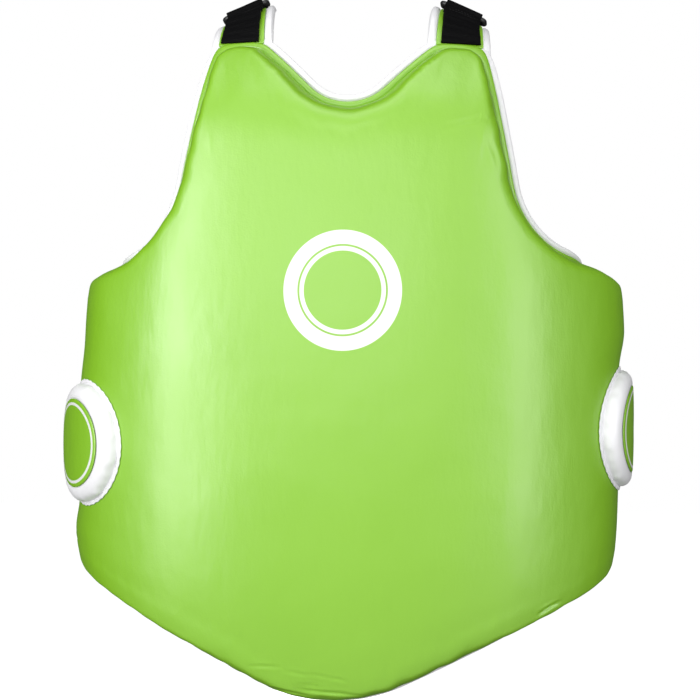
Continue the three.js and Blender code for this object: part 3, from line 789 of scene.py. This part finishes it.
def sewn_line(name, line, stitch, finish):
    """A closed seam: one stitch, copied along a loop of points that lies on a surface."""
    pitch, thick = stitch
    bpy.ops.mesh.primitive_circle_add(vertices=len(line), calc_uvs=False)
    seam = bpy.context.object
    write_points(seam, line)
    bpy.ops.object.convert(target="CURVE")
    length = np.sum(np.linalg.norm(np.roll(line, -1, axis=0) - line, axis=1))
    count = round(length / pitch)
    step = length / count
    bpy.ops.mesh.primitive_uv_sphere_add(segments=6, ring_count=5, radius=0.5, calc_uvs=False)
    stitches = bpy.context.object
    stitches.name = stitches.data.name = name
    lying = read_points(stitches)[:, [2, 0, 1]]
    write_points(stitches, lying * (STITCH_SHOWN * step, thick, thick) + (step / 2, 0, 0))
    add_modifier(
        stitches,
        "ARRAY",
        count=count,
        use_relative_offset=False,
        use_constant_offset=True,
        constant_offset_displace=(step, 0, 0),
    )
    add_modifier(stitches, "CURVE", object=seam, deform_axis="POS_X")
    bpy.ops.object.shade_smooth()
    stitches.data.materials.append(finish)
    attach(stitches, "root")
    only(seam)
    bpy.ops.object.delete()


white_thread = thread("white_thread", (0.62, 0.62, 0.63, 1), (0.78, 0.78, 0.79, 1))
half = spaced(pattern_half(), EDGE_POINTS)
edge = np.vstack([half, mirrored(half[-2:0:-1])])
line = np.column_stack([inset(edge, 0, 0.5, 0, 0), np.full(len(edge), LINING_BODY_SIDE - THREAD_PROUD)])
sewn_line("lining_seam", on_body(*as_sewn(line).T), LINING_STITCH, white_thread)

SIDES = {"left": 1, "right": -1}
GAP = 0.0003
TAB_TOP = 0.008
TAB_INNER = 0.0815
TAB_OUTER = 0.1215
STRIP_COLUMNS = 56
STRIP_ROWS = 40
STRIP_EDGE = 0.3
RUN_TOP = TAB_TOP - 0.004
RUN_TUCKED = 0.014
RUN_LOW = -0.0040
RUN_HIGH = -0.0004
RUN_SPREAD = 0.0080
RUN_BEAD = 0.0026
RUN_BEAD_SHARE = 0.13
RUN_BEAD_ENDS = (0.074, 0.094)


def shoulder_strip(name, side, spread, top, tucked, low, high, bead):
    """A strip from the top of a shoulder lobe up to the crest, between two heights, with beaded edges."""
    first, last = corner_middle(LOBE_INNER), corner_middle(LOBE_OUTER)
    lobe = spaced(pattern_half()[first : last + 1], STRIP_COLUMNS)
    piece, place = grid_sheet(name, STRIP_COLUMNS, STRIP_ROWS)
    k = np.rint(place[:, 0] * STRIP_COLUMNS).astype(int)
    u, t = place[:, :1], 1 - place[:, 1:]
    aside = spread * (2 * u - 1)
    crest = np.column_stack([TAB_INNER + (TAB_OUTER - TAB_INNER) * u + aside, np.full(len(u), top)])
    foot = inset(lobe[k], 0, 0, 0, 0, -GAP) + (0, tucked)
    foot[:, :1] += aside
    flat = (crest * (1 - t) + foot * t) * (side, 1)
    write_points(piece, np.column_stack([flat, np.full(len(flat), low)]))
    share = np.minimum(place[:, 0], 1 - place[:, 0]) / RUN_BEAD_SHARE
    bulge = np.sqrt(np.clip(1 - (2 * share - 1) ** 2, 0, 1)) * (1 - ease(flat[:, 1], *RUN_BEAD_ENDS))
    piece.data.attributes.new("bulge", "FLOAT", "POINT").data.foreach_set("value", bulge)
    edit(piece)
    bpy.ops.mesh.extrude_region_move(TRANSFORM_OT_translate={"value": (0, 0, high - low)})
    bpy.ops.mesh.select_all(action="SELECT")
    bpy.ops.mesh.normals_make_consistent(inside=False)
    leave_edit()
    add_modifier(piece, "BEVEL", width=(high - low) * STRIP_EDGE, segments=3, limit_method="ANGLE")
    bpy.ops.object.shade_smooth()
    points = read_points(piece)
    bulge = np.empty(len(points))
    piece.data.attributes["bulge"].data.foreach_get("value", bulge)
    points[:, 2] += bead * bulge * ease(points[:, 2], low, high)
    keep_pattern(piece, points)
    write_points(piece, points)
    bend_round_body(piece)
    return piece


for name, side in SIDES.items():
    run = shoulder_strip(
        f"lining_run_{name}", side, RUN_SPREAD, RUN_TOP, RUN_TUCKED, RUN_LOW, RUN_HIGH, RUN_BEAD,
    )
    run.data.materials.append(lining_white)
    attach(run, "root")


# The shoulder tabs: the front's green vinyl goes on flat, with no foam, from each lobe up to the crest,
# and the strap lies on it.
TAB_THICK = 0.0018

tab_green = green_vinyl("green_vinyl")
for name, side in SIDES.items():
    tab = shoulder_strip(
        f"tab_{name}", side, spread=0.0, top=TAB_TOP, tucked=0, low=0.0, high=TAB_THICK, bead=0,
    )
    tab.data.materials.append(tab_green)
    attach(tab, "root")
    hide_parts(f"shoulder_tab_{name}")


# The shoulder straps: black ribbed elastic, sewn in under the hem at the top of each lobe. Each goes up
# over the crest and round the front bar of a moulded ring, and is folded back under itself and sewn there
# with a box of black stitches.
WEB_WIDE = 0.037
WEB_AT_RING = 0.035
WEB_THICK = 0.0018
WEB_EDGE = 0.0005
WEB_COLUMNS = 20
WEB_STEP = 0.0015
FLAT_EDGES = 8
SLANT_REACH = 0.03
STRAP_PUCKER = 0.00030
STRAP_STITCH = (0.0030, 0.0007)
FOLD_BACK = 0.026
FOLD_CLEAR = 0.020
FOLD_BOX = (0.34, 0.84)
BOX_WIDE = 0.4
LOOP_GAP = 0.0007
RING_BAR = 0.0044
RING_SLOT = 0.015
RING_FORWARD = 0.0035
END_HEIGHT = TAB_THICK + GAP + WEB_THICK / 2
BAR_HEIGHT = TAB_THICK + GAP + WEB_THICK + LOOP_GAP + RING_BAR / 2
WRAP_RADIUS = RING_BAR / 2 + LOOP_GAP + WEB_THICK / 2
OVER_HEIGHT = END_HEIGHT + WEB_THICK + GAP
beside_bar = np.array([RING_FORWARD + SMALL_STEP / 2, RING_FORWARD - SMALL_STEP / 2])
crest_step = on_body(STRAP_AROUND, beside_bar, BAR_HEIGHT)
BAR_SCALE = np.linalg.norm(crest_step[0] - crest_step[1]) / SMALL_STEP
REAR_BAR = RING_FORWARD - (RING_SLOT + RING_BAR) / BAR_SCALE


def bar_loop(bar_down, toward):
    """The strap over a ring's bar and back under itself: down and height."""
    points = [
        (FOLD_BACK + 0.012, END_HEIGHT),
        (FOLD_BACK + 0.003, OVER_HEIGHT - 0.0002),
        (FOLD_BACK - 0.005, OVER_HEIGHT),
        (FOLD_BACK / 2, OVER_HEIGHT),
        (0.0075, OVER_HEIGHT + 0.0001),
    ]
    for angle in np.linspace(0.1, 1.5, 11) * math.pi:
        points.append((math.cos(angle) * WRAP_RADIUS, BAR_HEIGHT + math.sin(angle) * WRAP_RADIUS))
    points += [(FOLD_BACK * 0.3, END_HEIGHT), (FOLD_BACK * 0.65, END_HEIGHT), (FOLD_BACK, END_HEIGHT)]
    return [(bar_down + toward * along / BAR_SCALE, height) for along, height in points]


def unit(vectors):
    return vectors / np.linalg.norm(vectors, axis=-1, keepdims=True)


def across_at(around, down, height):
    return unit(on_body(around + SMALL_STEP, down, height) - on_body(around - SMALL_STEP, down, height))


def thicken_webbing(piece, thick):
    """Gives flat webbing its thickness and rounds its edges."""
    add_modifier(piece, "SOLIDIFY", thickness=thick, offset=0)
    add_modifier(piece, "BEVEL", width=WEB_EDGE, segments=2, limit_method="ANGLE")
    bpy.ops.object.shade_smooth()


def webbing(name, side, route, pucker, slant):
    """Webbing along a route of rows: round, down, height, width, and how far it lies along the bar."""
    route = np.array(route)
    lengths = np.hypot(np.diff(route[:, 1]), np.diff(route[:, 2]))
    length = np.concatenate([[0], np.cumsum(lengths)])
    at = np.linspace(0, length[-1], int(length[-1] / WEB_STEP) + 1)
    columns = (smooth_table(list(zip(length, column)), at) for column in route.T)
    around, down, height, width, bar_wise = columns
    middle = on_body(side * around, down, height)
    across = across_at(side * around, down, height)
    across = across + (across_at(side * around, 0 * down, 0 * height) - across) * bar_wise[:, None]
    across = unit(across)
    along = np.gradient(middle, axis=0)
    run = np.concatenate([[0], np.cumsum(np.linalg.norm(np.diff(middle, axis=0), axis=1))])
    face = unit(np.cross(across, along))
    piece, place = grid_sheet(name, WEB_COLUMNS, len(at) - 1)
    k = np.rint(place[:, 1] * (len(at) - 1)).astype(int)
    x = (place[:, 0] - 0.5) * width[k]
    folds = waves([(1.0, 620, 60, side), (0.6, 1130, -90, 2.1 * side)], run[k], x)
    lift = pucker * folds * (1 - (2 * place[:, 0] - 1) ** FLAT_EDGES)
    foot = side * slant * x * np.clip(1 - run[k] / SLANT_REACH, 0, 1)
    points = middle[k] + across[k] * x[:, None] + face[k] * lift[:, None]
    write_points(piece, points + unit(along)[k] * foot[:, None])
    keep_pattern(piece, np.column_stack([x, run[k], 0 * x]))
    thicken_webbing(piece, WEB_THICK)
    return piece


# Painted shade and light on the elastic: darker in the valleys between its ribs, lighter on the rib tops.
RIB_SHADE = (0.0008, 0.0008, 0.0010, 1)
RIB_LIT_TOP = (0.0030, 0.0030, 0.0034, 1)


def black_elastic(name):
    """Ribbed elastic: ribs across the strap, fine threads along it; its colour has painted shade in the
    rib valleys and painted light on the rib tops.
    """
    finish = new_finish(name)
    pattern = pattern_on(finish)
    ribs = bands(finish, pattern, "Y", scale=240.0, wobble=0.6, detail=1.0)
    threads = bands(finish, pattern, "X", scale=380.0, wobble=1.0)
    ribbed = bumps(finish, ribs, depth=0.0003, strength=0.7)
    set_surface(
        finish,
        Base_Color=mixed(finish, ribs, RIB_SHADE, RIB_LIT_TOP),
        Roughness=0.55,
        Normal=bumps(finish, threads, depth=0.0001, strength=0.4, under=ribbed),
        Specular_IOR_Level=0.06,
    )
    return finish


def box(corners, count):
    """Points along the four sides of a sewn box."""
    corners = np.array(corners, dtype=float)
    shares = np.linspace(0, 1, count, endpoint=False)[:, None]
    return np.vstack([a + (b - a) * shares for a, b in zip(corners, np.roll(corners, -1, axis=0))])


def fold_box(around, bar_down, toward):
    """The box sewn through a strap and its folded end, beside a ring's bar: round, down and height."""
    near, far = (share * FOLD_BACK for share in FOLD_BOX)
    half = BOX_WIDE * WEB_AT_RING
    corners = []
    for aside, along in ((-half, near), (half, near), (half, far), (-half, far)):
        down = bar_down + toward * along / BAR_SCALE
        corners.append((around + aside, down, OVER_HEIGHT + WEB_THICK / 2))
    return box(corners, count=12)


black_thread = thread("black_thread", (0.006, 0.006, 0.007, 1), (0.016, 0.016, 0.017, 1))
elastic = black_elastic("black_elastic")
lobe_inner, lobe_outer = (np.array(PATTERN_EDGE[corner][:2]) for corner in (LOBE_INNER, LOBE_OUTER))
lobe_slope = (lobe_outer - lobe_inner)[1] / (lobe_outer - lobe_inner)[0]
strap_foot = lobe_inner[1] + lobe_slope * (STRAP_AROUND - lobe_inner[0]) - 2 * GAP
strap_rise = RING_FORWARD + (FOLD_BACK + FOLD_CLEAR) / BAR_SCALE
for name, side in SIDES.items():
    route = []
    for t in np.linspace(0, 1, 6):
        width = WEB_WIDE + (WEB_AT_RING - WEB_WIDE) * t
        route.append((STRAP_AROUND, strap_foot + (strap_rise - strap_foot) * t, END_HEIGHT, width, 0))
    route += [(STRAP_AROUND, down, height, WEB_AT_RING, 0) for down, height in bar_loop(RING_FORWARD, 1)]
    strap = webbing(f"strap_{name}", side, route, pucker=STRAP_PUCKER, slant=-lobe_slope)
    strap.data.materials.append(elastic)
    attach(strap, "root")
    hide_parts(f"shoulder_strap_{name}")
    line = on_body(*fold_box(side * STRAP_AROUND, RING_FORWARD, 1).T)
    sewn_line(f"strap_seam_{name}", line, STRAP_STITCH, black_thread)


# The strap rings: one moulded bar of black plastic bent round to a flat loop, lying over the crest with
# the front strap on one long side and the back strap on the other.
RING_INSIDE = 0.0375
RING_CORNER = 0.0042
PLASTIC_DARK = (0.008, 0.008, 0.009, 1)
PLASTIC_LIGHT = (0.016, 0.016, 0.017, 1)

ring_plastic = new_finish("black_plastic")
moulding = clouds(ring_plastic, spots_on(ring_plastic), scale=900.0)
set_surface(
    ring_plastic,
    Base_Color=mixed(ring_plastic, moulding, PLASTIC_DARK, PLASTIC_LIGHT),
    Roughness=0.38,
    Normal=bumps(ring_plastic, moulding, depth=0.0001, strength=0.3),
)

for name, side in SIDES.items():
    front_bar, rear_bar = on_body(side * STRAP_AROUND, np.array([RING_FORWARD, REAR_BAR]), BAR_HEIGHT)
    away = front_bar - rear_bar
    across = across_at(side * STRAP_AROUND, 0.0, 0.0)
    along = unit(away)
    up = np.cross(across, along)
    bpy.ops.mesh.primitive_plane_add(size=1, calc_uvs=False)
    ring = bpy.context.object
    ring.name = ring.data.name = f"ring_{name}"
    write_points(ring, read_points(ring) * (RING_INSIDE + RING_BAR, np.linalg.norm(away), 1))
    edit(ring)
    bpy.ops.mesh.bevel(offset=RING_CORNER, segments=6, affect="VERTICES")
    bpy.ops.mesh.delete(type="ONLY_FACE")
    leave_edit()
    bpy.ops.object.convert(target="CURVE")
    ring.data.bevel_depth = RING_BAR / 2
    ring.data.bevel_resolution = 5
    bpy.ops.object.convert(target="MESH")
    middle = (front_bar + rear_bar) / 2
    write_points(ring, middle + read_points(ring) @ np.stack([across, along, up]))
    mend(ring)
    ring.data.materials.append(ring_plastic)
    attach(ring, "root")
    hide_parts(f"strap_ring_{name}")


# The back belt: a broad band of the same black elastic that pulls the wings round the wearer. Each end
# lies on the lining inside a wing end and is sewn there with a box of stitches.
BELT_TALL = 0.075
BELT_THICK = 0.002
BELT_DOWN = 0.424
BELT_SEWN_FROM = 0.300
BELT_OUTSIDE = LINING_BODY_SIDE - 2 * GAP
BELT_BOX = [(0.985, -0.44), (0.985, 0.44), (0.890, 0.44), (0.890, -0.44)]
BELT_BOX_HEIGHT = BELT_OUTSIDE - BELT_THICK - 0.0001
BELT_STITCH = (0.0035, 0.0008)
FULL_GIRTH = sum(radius * math.radians(sweep) for radius, sweep in GIRTH)


def belt_points(u, v, height):
    """u from -1 to 1 along the belt from one sewn end to the other, v from -0.5 to 0.5 down it."""
    side = np.where(u < 0, -1.0, 1.0)
    around = FULL_GIRTH + (BELT_SEWN_FROM - FULL_GIRTH) * np.abs(u)
    middle = on_body(side * around, BELT_DOWN, height)
    on_wing = on_body(side * around, BELT_DOWN + v * BELT_TALL, height)
    upright = middle - np.stack([0 * v, 0 * v, v * BELT_TALL], axis=-1)
    wing_end = PATTERN_EDGE[WING_TOP][0]
    free = ease(around, wing_end, wing_end + BELT_TALL)
    return on_wing + (upright - on_wing) * free[:, None]


belt, place = grid_sheet("belt", columns=260, rows=24)
u, v = place[:, 0] * 2 - 1, place[:, 1] - 0.5
write_points(belt, belt_points(u, v, BELT_OUTSIDE - BELT_THICK / 2))
keep_pattern(belt, np.column_stack([v * BELT_TALL, u * (FULL_GIRTH - BELT_SEWN_FROM), 0 * u]))
thicken_webbing(belt, BELT_THICK)
belt.data.materials.append(elastic)
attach(belt, "root")
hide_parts("back_belt")
for name, side in SIDES.items():
    u, v = box(BELT_BOX, count=24).T
    line = belt_points(side * u, v, BELT_BOX_HEIGHT)
    sewn_line(f"belt_seam_{name}", line, BELT_STITCH, black_thread)


# The back straps: the same elastic as over the shoulders, folded round the rear bar of each ring and sewn
# to itself. It runs down the back and is sewn to the outside of the belt with a box of stitches.
BACK_STRAP_AROUND = 0.075
BACK_PUCKER = 0.0001
BELT_SEAM = 0.004
FLAT_BACK = 0.6
LOOP_CLEAR = 0.030
SETTLED_DOWN = 0.300
CLOSER_DOWN = 0.320
UPRIGHT_DOWN = 0.220

belt_middle = on_body(FULL_GIRTH, BELT_DOWN, BELT_OUTSIDE)
strap_flat = on_body(BACK_STRAP_AROUND, -FLAT_BACK, 0.0)
drop = follow_arcs(BACK_LINE, np.array([FLAT_BACK]))[1][0] - FLAT_BACK
strap_end = CREST_LIFT - drop - (belt_middle[2] - BELT_TALL / 2 + BELT_SEAM)
bulge = follow_arcs(GIRTH, np.array([FULL_GIRTH, FULL_GIRTH - BACK_STRAP_AROUND]))[1]
sewn_height = belt_middle[1] - (bulge[0] - bulge[1]) + GAP + WEB_THICK / 2 - strap_flat[1]
loop_away = (FOLD_BACK + LOOP_CLEAR) / BAR_SCALE
for name, side in SIDES.items():
    line = []
    for down in np.linspace(strap_end, loop_away - REAR_BAR, 15):
        settle = ease(down, loop_away - REAR_BAR, SETTLED_DOWN)
        line.append((-down, END_HEIGHT + (sewn_height - END_HEIGHT) * settle, WEB_WIDE))
    line += [(down, height, WEB_AT_RING) for down, height in bar_loop(REAR_BAR, -1)]
    route = []
    for down, height, width in line:
        closer = ease(-down, -REAR_BAR, CLOSER_DOWN)
        around = STRAP_AROUND + (BACK_STRAP_AROUND - STRAP_AROUND) * closer
        route.append((around, down, height, width, 1 - ease(-down, FOLD_BACK - REAR_BAR, UPRIGHT_DOWN)))
    strap = webbing(f"rear_strap_{name}", side, route, pucker=BACK_PUCKER, slant=0)
    strap.data.materials.append(elastic)
    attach(strap, "root")
    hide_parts(f"back_strap_{name}")
    line = on_body(*fold_box(side * STRAP_AROUND, REAR_BAR, -1).T)
    sewn_line(f"rear_fold_seam_{name}", line, STRAP_STITCH, black_thread)
    near, far = BELT_SEAM - strap_end, BELT_TALL - 3 * BELT_SEAM - strap_end
    half = BOX_WIDE * WEB_WIDE
    left, right = side * BACK_STRAP_AROUND - half, side * BACK_STRAP_AROUND + half
    around, down = box([(left, near), (right, near), (right, far), (left, far)], count=24).T
    line = on_body(around, down, sewn_height + WEB_THICK / 2)
    sewn_line(f"rear_strap_seam_{name}", line, STRAP_STITCH, black_thread)


# The side targets: a round foam boss under white vinyl on each flank, its flange sewn down to the green
# front with white thread. A round green face, printed with a thin white ring, is let into its top.
FLANGE_THICK = 0.0016
FLANGE_SEAM = 0.0562
FLANGE_STITCHES = 46
FLANGE_STITCH = (0.0040, 0.0008)
BOSS_FOOT = 0.0548
BOSS_FOOT_HEIGHT = 0.0019
BOSS_TOP = 0.0424
BOSS_TALL = 0.0160
BOSS_BULGE = 0.9
FACE_SEAT = BOSS_TALL - 0.0012
FACE_FLOOR = BOSS_TALL - 0.0009
FACE_PRINT = [(0.0346, 0.0372)]
TARGET_TURNS = 240
TARGET_FLAT = 0.26
TARGET_GATHER = 0.0004
GATHERS = [(1.0, 9, 0, 0.7), (0.7, 17, 0, 2.0), (0.5, 29, 0, 0.0)]
GATHER_BEGIN = (0.0018, 0.004)
GATHER_END = (0.008, 0.014)
FLANGE_PUCKER = 0.8
FLANGE_EDGE = (0.0562, 0.0580)

# Both in section, from the middle of the underside round to the middle of the top: radius and height.
TARGET_PROFILE = [
    (0.0000, 0.0), (0.0200, 0.0), (0.0400, 0.0), (0.0570, 0.0), (0.0584, 0.0002), (0.0586, 0.0008),
    (0.0581, 0.0014), (0.0566, FLANGE_THICK), (0.0554, FLANGE_THICK), (BOSS_FOOT, BOSS_FOOT_HEIGHT),
]
for angle in np.linspace(0.06, 1, 11) * math.pi / 2:
    out = BOSS_TOP + (BOSS_FOOT - BOSS_TOP) * math.cos(angle) ** BOSS_BULGE
    TARGET_PROFILE.append((out, BOSS_FOOT_HEIGHT + (BOSS_TALL - BOSS_FOOT_HEIGHT) * math.sin(angle)))
TARGET_PROFILE += [(0.0417, BOSS_TALL - 0.0004), (0.0412, FACE_SEAT), (0.0300, FACE_SEAT)]
TARGET_PROFILE += [(0.0150, FACE_SEAT), (0.0000, FACE_SEAT)]
FACE_RISE = [
    (0.0000, 0.0), (0.0200, 0.0), (0.0390, 0.0), (0.0404, 0.0002), (0.0408, 0.0007),
    (0.0404, 0.0013), (0.0394, 0.0017), (0.0370, 0.0019), (0.0320, 0.0021), (0.0240, 0.0023),
    (0.0140, 0.0024), (0.0000, 0.0024),
]
FACE_PROFILE = [(out, FACE_FLOOR + rise) for out, rise in FACE_RISE]


def on_target(side, around, down, x, y, height):
    """Places on a target that is drawn flat where it is sewn on and bent round the pad's surface."""
    under = follow_arcs(GIRTH, around + x, 1.0, TARGET_LIFT)[3]
    flatter = 1 - TARGET_FLAT * np.clip(1 - (x / BOSS_FOOT) ** 2, 0, 1)
    over = foam_thick(under, down + y) - TARGET_LIFT + GAP + height * flatter
    return on_body(side * (around + x), down + y, over, TARGET_LIFT)


def turned(name, profile, side, around, down, gather):
    """A round piece of that profile on a flank of the pad."""
    piece, place = grid_sheet(name, TARGET_TURNS, len(profile) - 1)
    out, height = np.array(profile)[np.rint(place[:, 1] * (len(profile) - 1)).astype(int)].T
    angle = place[:, 0] * math.tau
    folds = waves(GATHERS, angle, 0 * angle)
    out = out + gather * folds * ease(height, *GATHER_BEGIN) * (1 - ease(height, *GATHER_END))
    out = out + gather * FLANGE_PUCKER * np.cos(FLANGE_STITCHES * angle) * ease(out, *FLANGE_EDGE)
    x, y = out * np.cos(angle), out * np.sin(angle)
    write_points(piece, on_target(side, around, down, x, y, height))
    keep_pattern(piece, np.column_stack([x, y, height]))
    mend(piece)
    return piece


face_green = green_vinyl("ringed_green_vinyl", FACE_PRINT)
target_white = white_vinyl("target_white_vinyl")
for name, place_on_pad in TARGETS.items():
    boss = turned(f"target_{name}", TARGET_PROFILE, *place_on_pad, gather=TARGET_GATHER)
    boss.data.materials.append(target_white)
    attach(boss, "root")
    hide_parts(f"side_target_{name}")
    angle = np.linspace(0, math.tau, 180, endpoint=False)
    x, y = FLANGE_SEAM * np.cos(angle), FLANGE_SEAM * np.sin(angle)
    line = on_target(*place_on_pad, x, y, FLANGE_THICK)
    sewn_line(f"target_seam_{name}", line, FLANGE_STITCH, white_thread)
    face = turned(f"face_{name}", FACE_PROFILE, *place_on_pad, gather=0.0)
    face.data.materials.append(face_green)
    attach(face, "root")
    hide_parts(f"target_face_{name}")


# The studio: a plain pale floor well below the pad, in a white room. A tall softbox stands at each side,
# the left one the stronger, with a fill over the camera, a lamp overhead and one behind for the back. A
# long lens looks from the front.
FLOOR_DEPTH = -0.90
FLOOR_WIDE = 16
FLOOR_DARK = (0.86, 0.86, 0.86, 1)
FLOOR_LIGHT = (0.88, 0.88, 0.88, 1)
PAD_MIDDLE = (0, -0.05, -0.30)
PURE_WHITE = (1, 1, 1, 1)
CAMERA_TURN = 3.44
CAMERA_ROLL = 0.76
CAMERA_AWAY = 2.600
CAMERA_LEVEL = -0.3046
FRAME_WIDE = 0.6423
SENSOR_WIDE = 36

bpy.ops.mesh.primitive_plane_add(size=FLOOR_WIDE, location=(0, 0, FLOOR_DEPTH))
floor = bpy.context.object
floor.name = "floor"
pale = new_finish("pale_floor")
paper = clouds(pale, spots_on(pale), scale=3.0)
set_surface(
    pale,
    Base_Color=mixed(pale, paper, FLOOR_DARK, FLOOR_LIGHT),
    Roughness=0.9,
    Emission_Color=PURE_WHITE,
    Emission_Strength=0.75,
)
floor.data.materials.append(pale)
floor.visible_diffuse = False
floor.visible_glossy = False


def softbox(name, place, wide, tall, power):
    """A soft rectangular lamp aimed at the middle of the pad."""
    bpy.ops.object.light_add(type="AREA", location=place)
    lamp = bpy.context.object
    lamp.name = name
    lamp.data.shape = "RECTANGLE"
    lamp.data.size = wide
    lamp.data.size_y = tall
    lamp.data.energy = power
    toward = np.array(PAD_MIDDLE) - np.array(place)
    sideways = math.atan2(toward[0], -toward[1])
    tilt = math.atan2(math.hypot(toward[0], toward[1]), -toward[2])
    lamp.rotation_euler = (tilt, 0, math.pi + sideways)
    return lamp


softbox("left_softbox", (-1.74, -1.66, -0.10), wide=1.0, tall=2.0, power=43)
softbox("right_softbox", (1.78, -1.61, -0.10), wide=0.9, tall=2.0, power=20)
softbox("front_fill", (-0.2, -2.7, 0.4), wide=2.0, tall=1.4, power=20)
softbox("overhead", (0.0, -0.9, 2.0), wide=2.0, tall=1.2, power=17)
rear_lamp = softbox("behind", (0.0, 2.2, 0.1), wide=1.2, tall=1.2, power=52)
rear_lamp.visible_glossy = False

# The room is bright in front of the pad and dim behind it; the camera sees it white.
world = bpy.data.worlds.new("white_studio")
world.use_nodes = True
room = world.node_tree.nodes["Background"]
facing = add_node(world, "ShaderNodeTexCoord").outputs["Generated"]
ahead = add_node(world, "ShaderNodeSeparateXYZ", {0: facing}).outputs["Y"]
glow = ranged(world, ahead, -0.6, 0.4, first=0.75, last=0.06)
feed(world, room.inputs["Color"], PURE_WHITE)
feed(world, room.inputs["Strength"], glow)
seen = add_node(world, "ShaderNodeBackground", {"Color": PURE_WHITE})
to_camera = add_node(world, "ShaderNodeLightPath").outputs["Is Camera Ray"]
both = add_node(world, "ShaderNodeMixShader", {0: to_camera, 1: room.outputs[0], 2: seen.outputs[0]})
feed(world, world.node_tree.nodes["World Output"].inputs["Surface"], both.outputs[0])
bpy.context.scene.world = world
bpy.context.scene.view_settings.view_transform = "Standard"

bpy.ops.object.camera_add()
camera = bpy.context.object
turn = math.radians(CAMERA_TURN)
camera.location = (CAMERA_AWAY * math.sin(turn), -CAMERA_AWAY * math.cos(turn), CAMERA_LEVEL)
camera.rotation_euler = (math.radians(90), 0, turn)
camera.rotation_euler.rotate_axis("Z", math.radians(CAMERA_ROLL))
camera.data.sensor_width = SENSOR_WIDE
camera.data.lens = SENSOR_WIDE * CAMERA_AWAY / FRAME_WIDE
bpy.context.scene.camera = camera
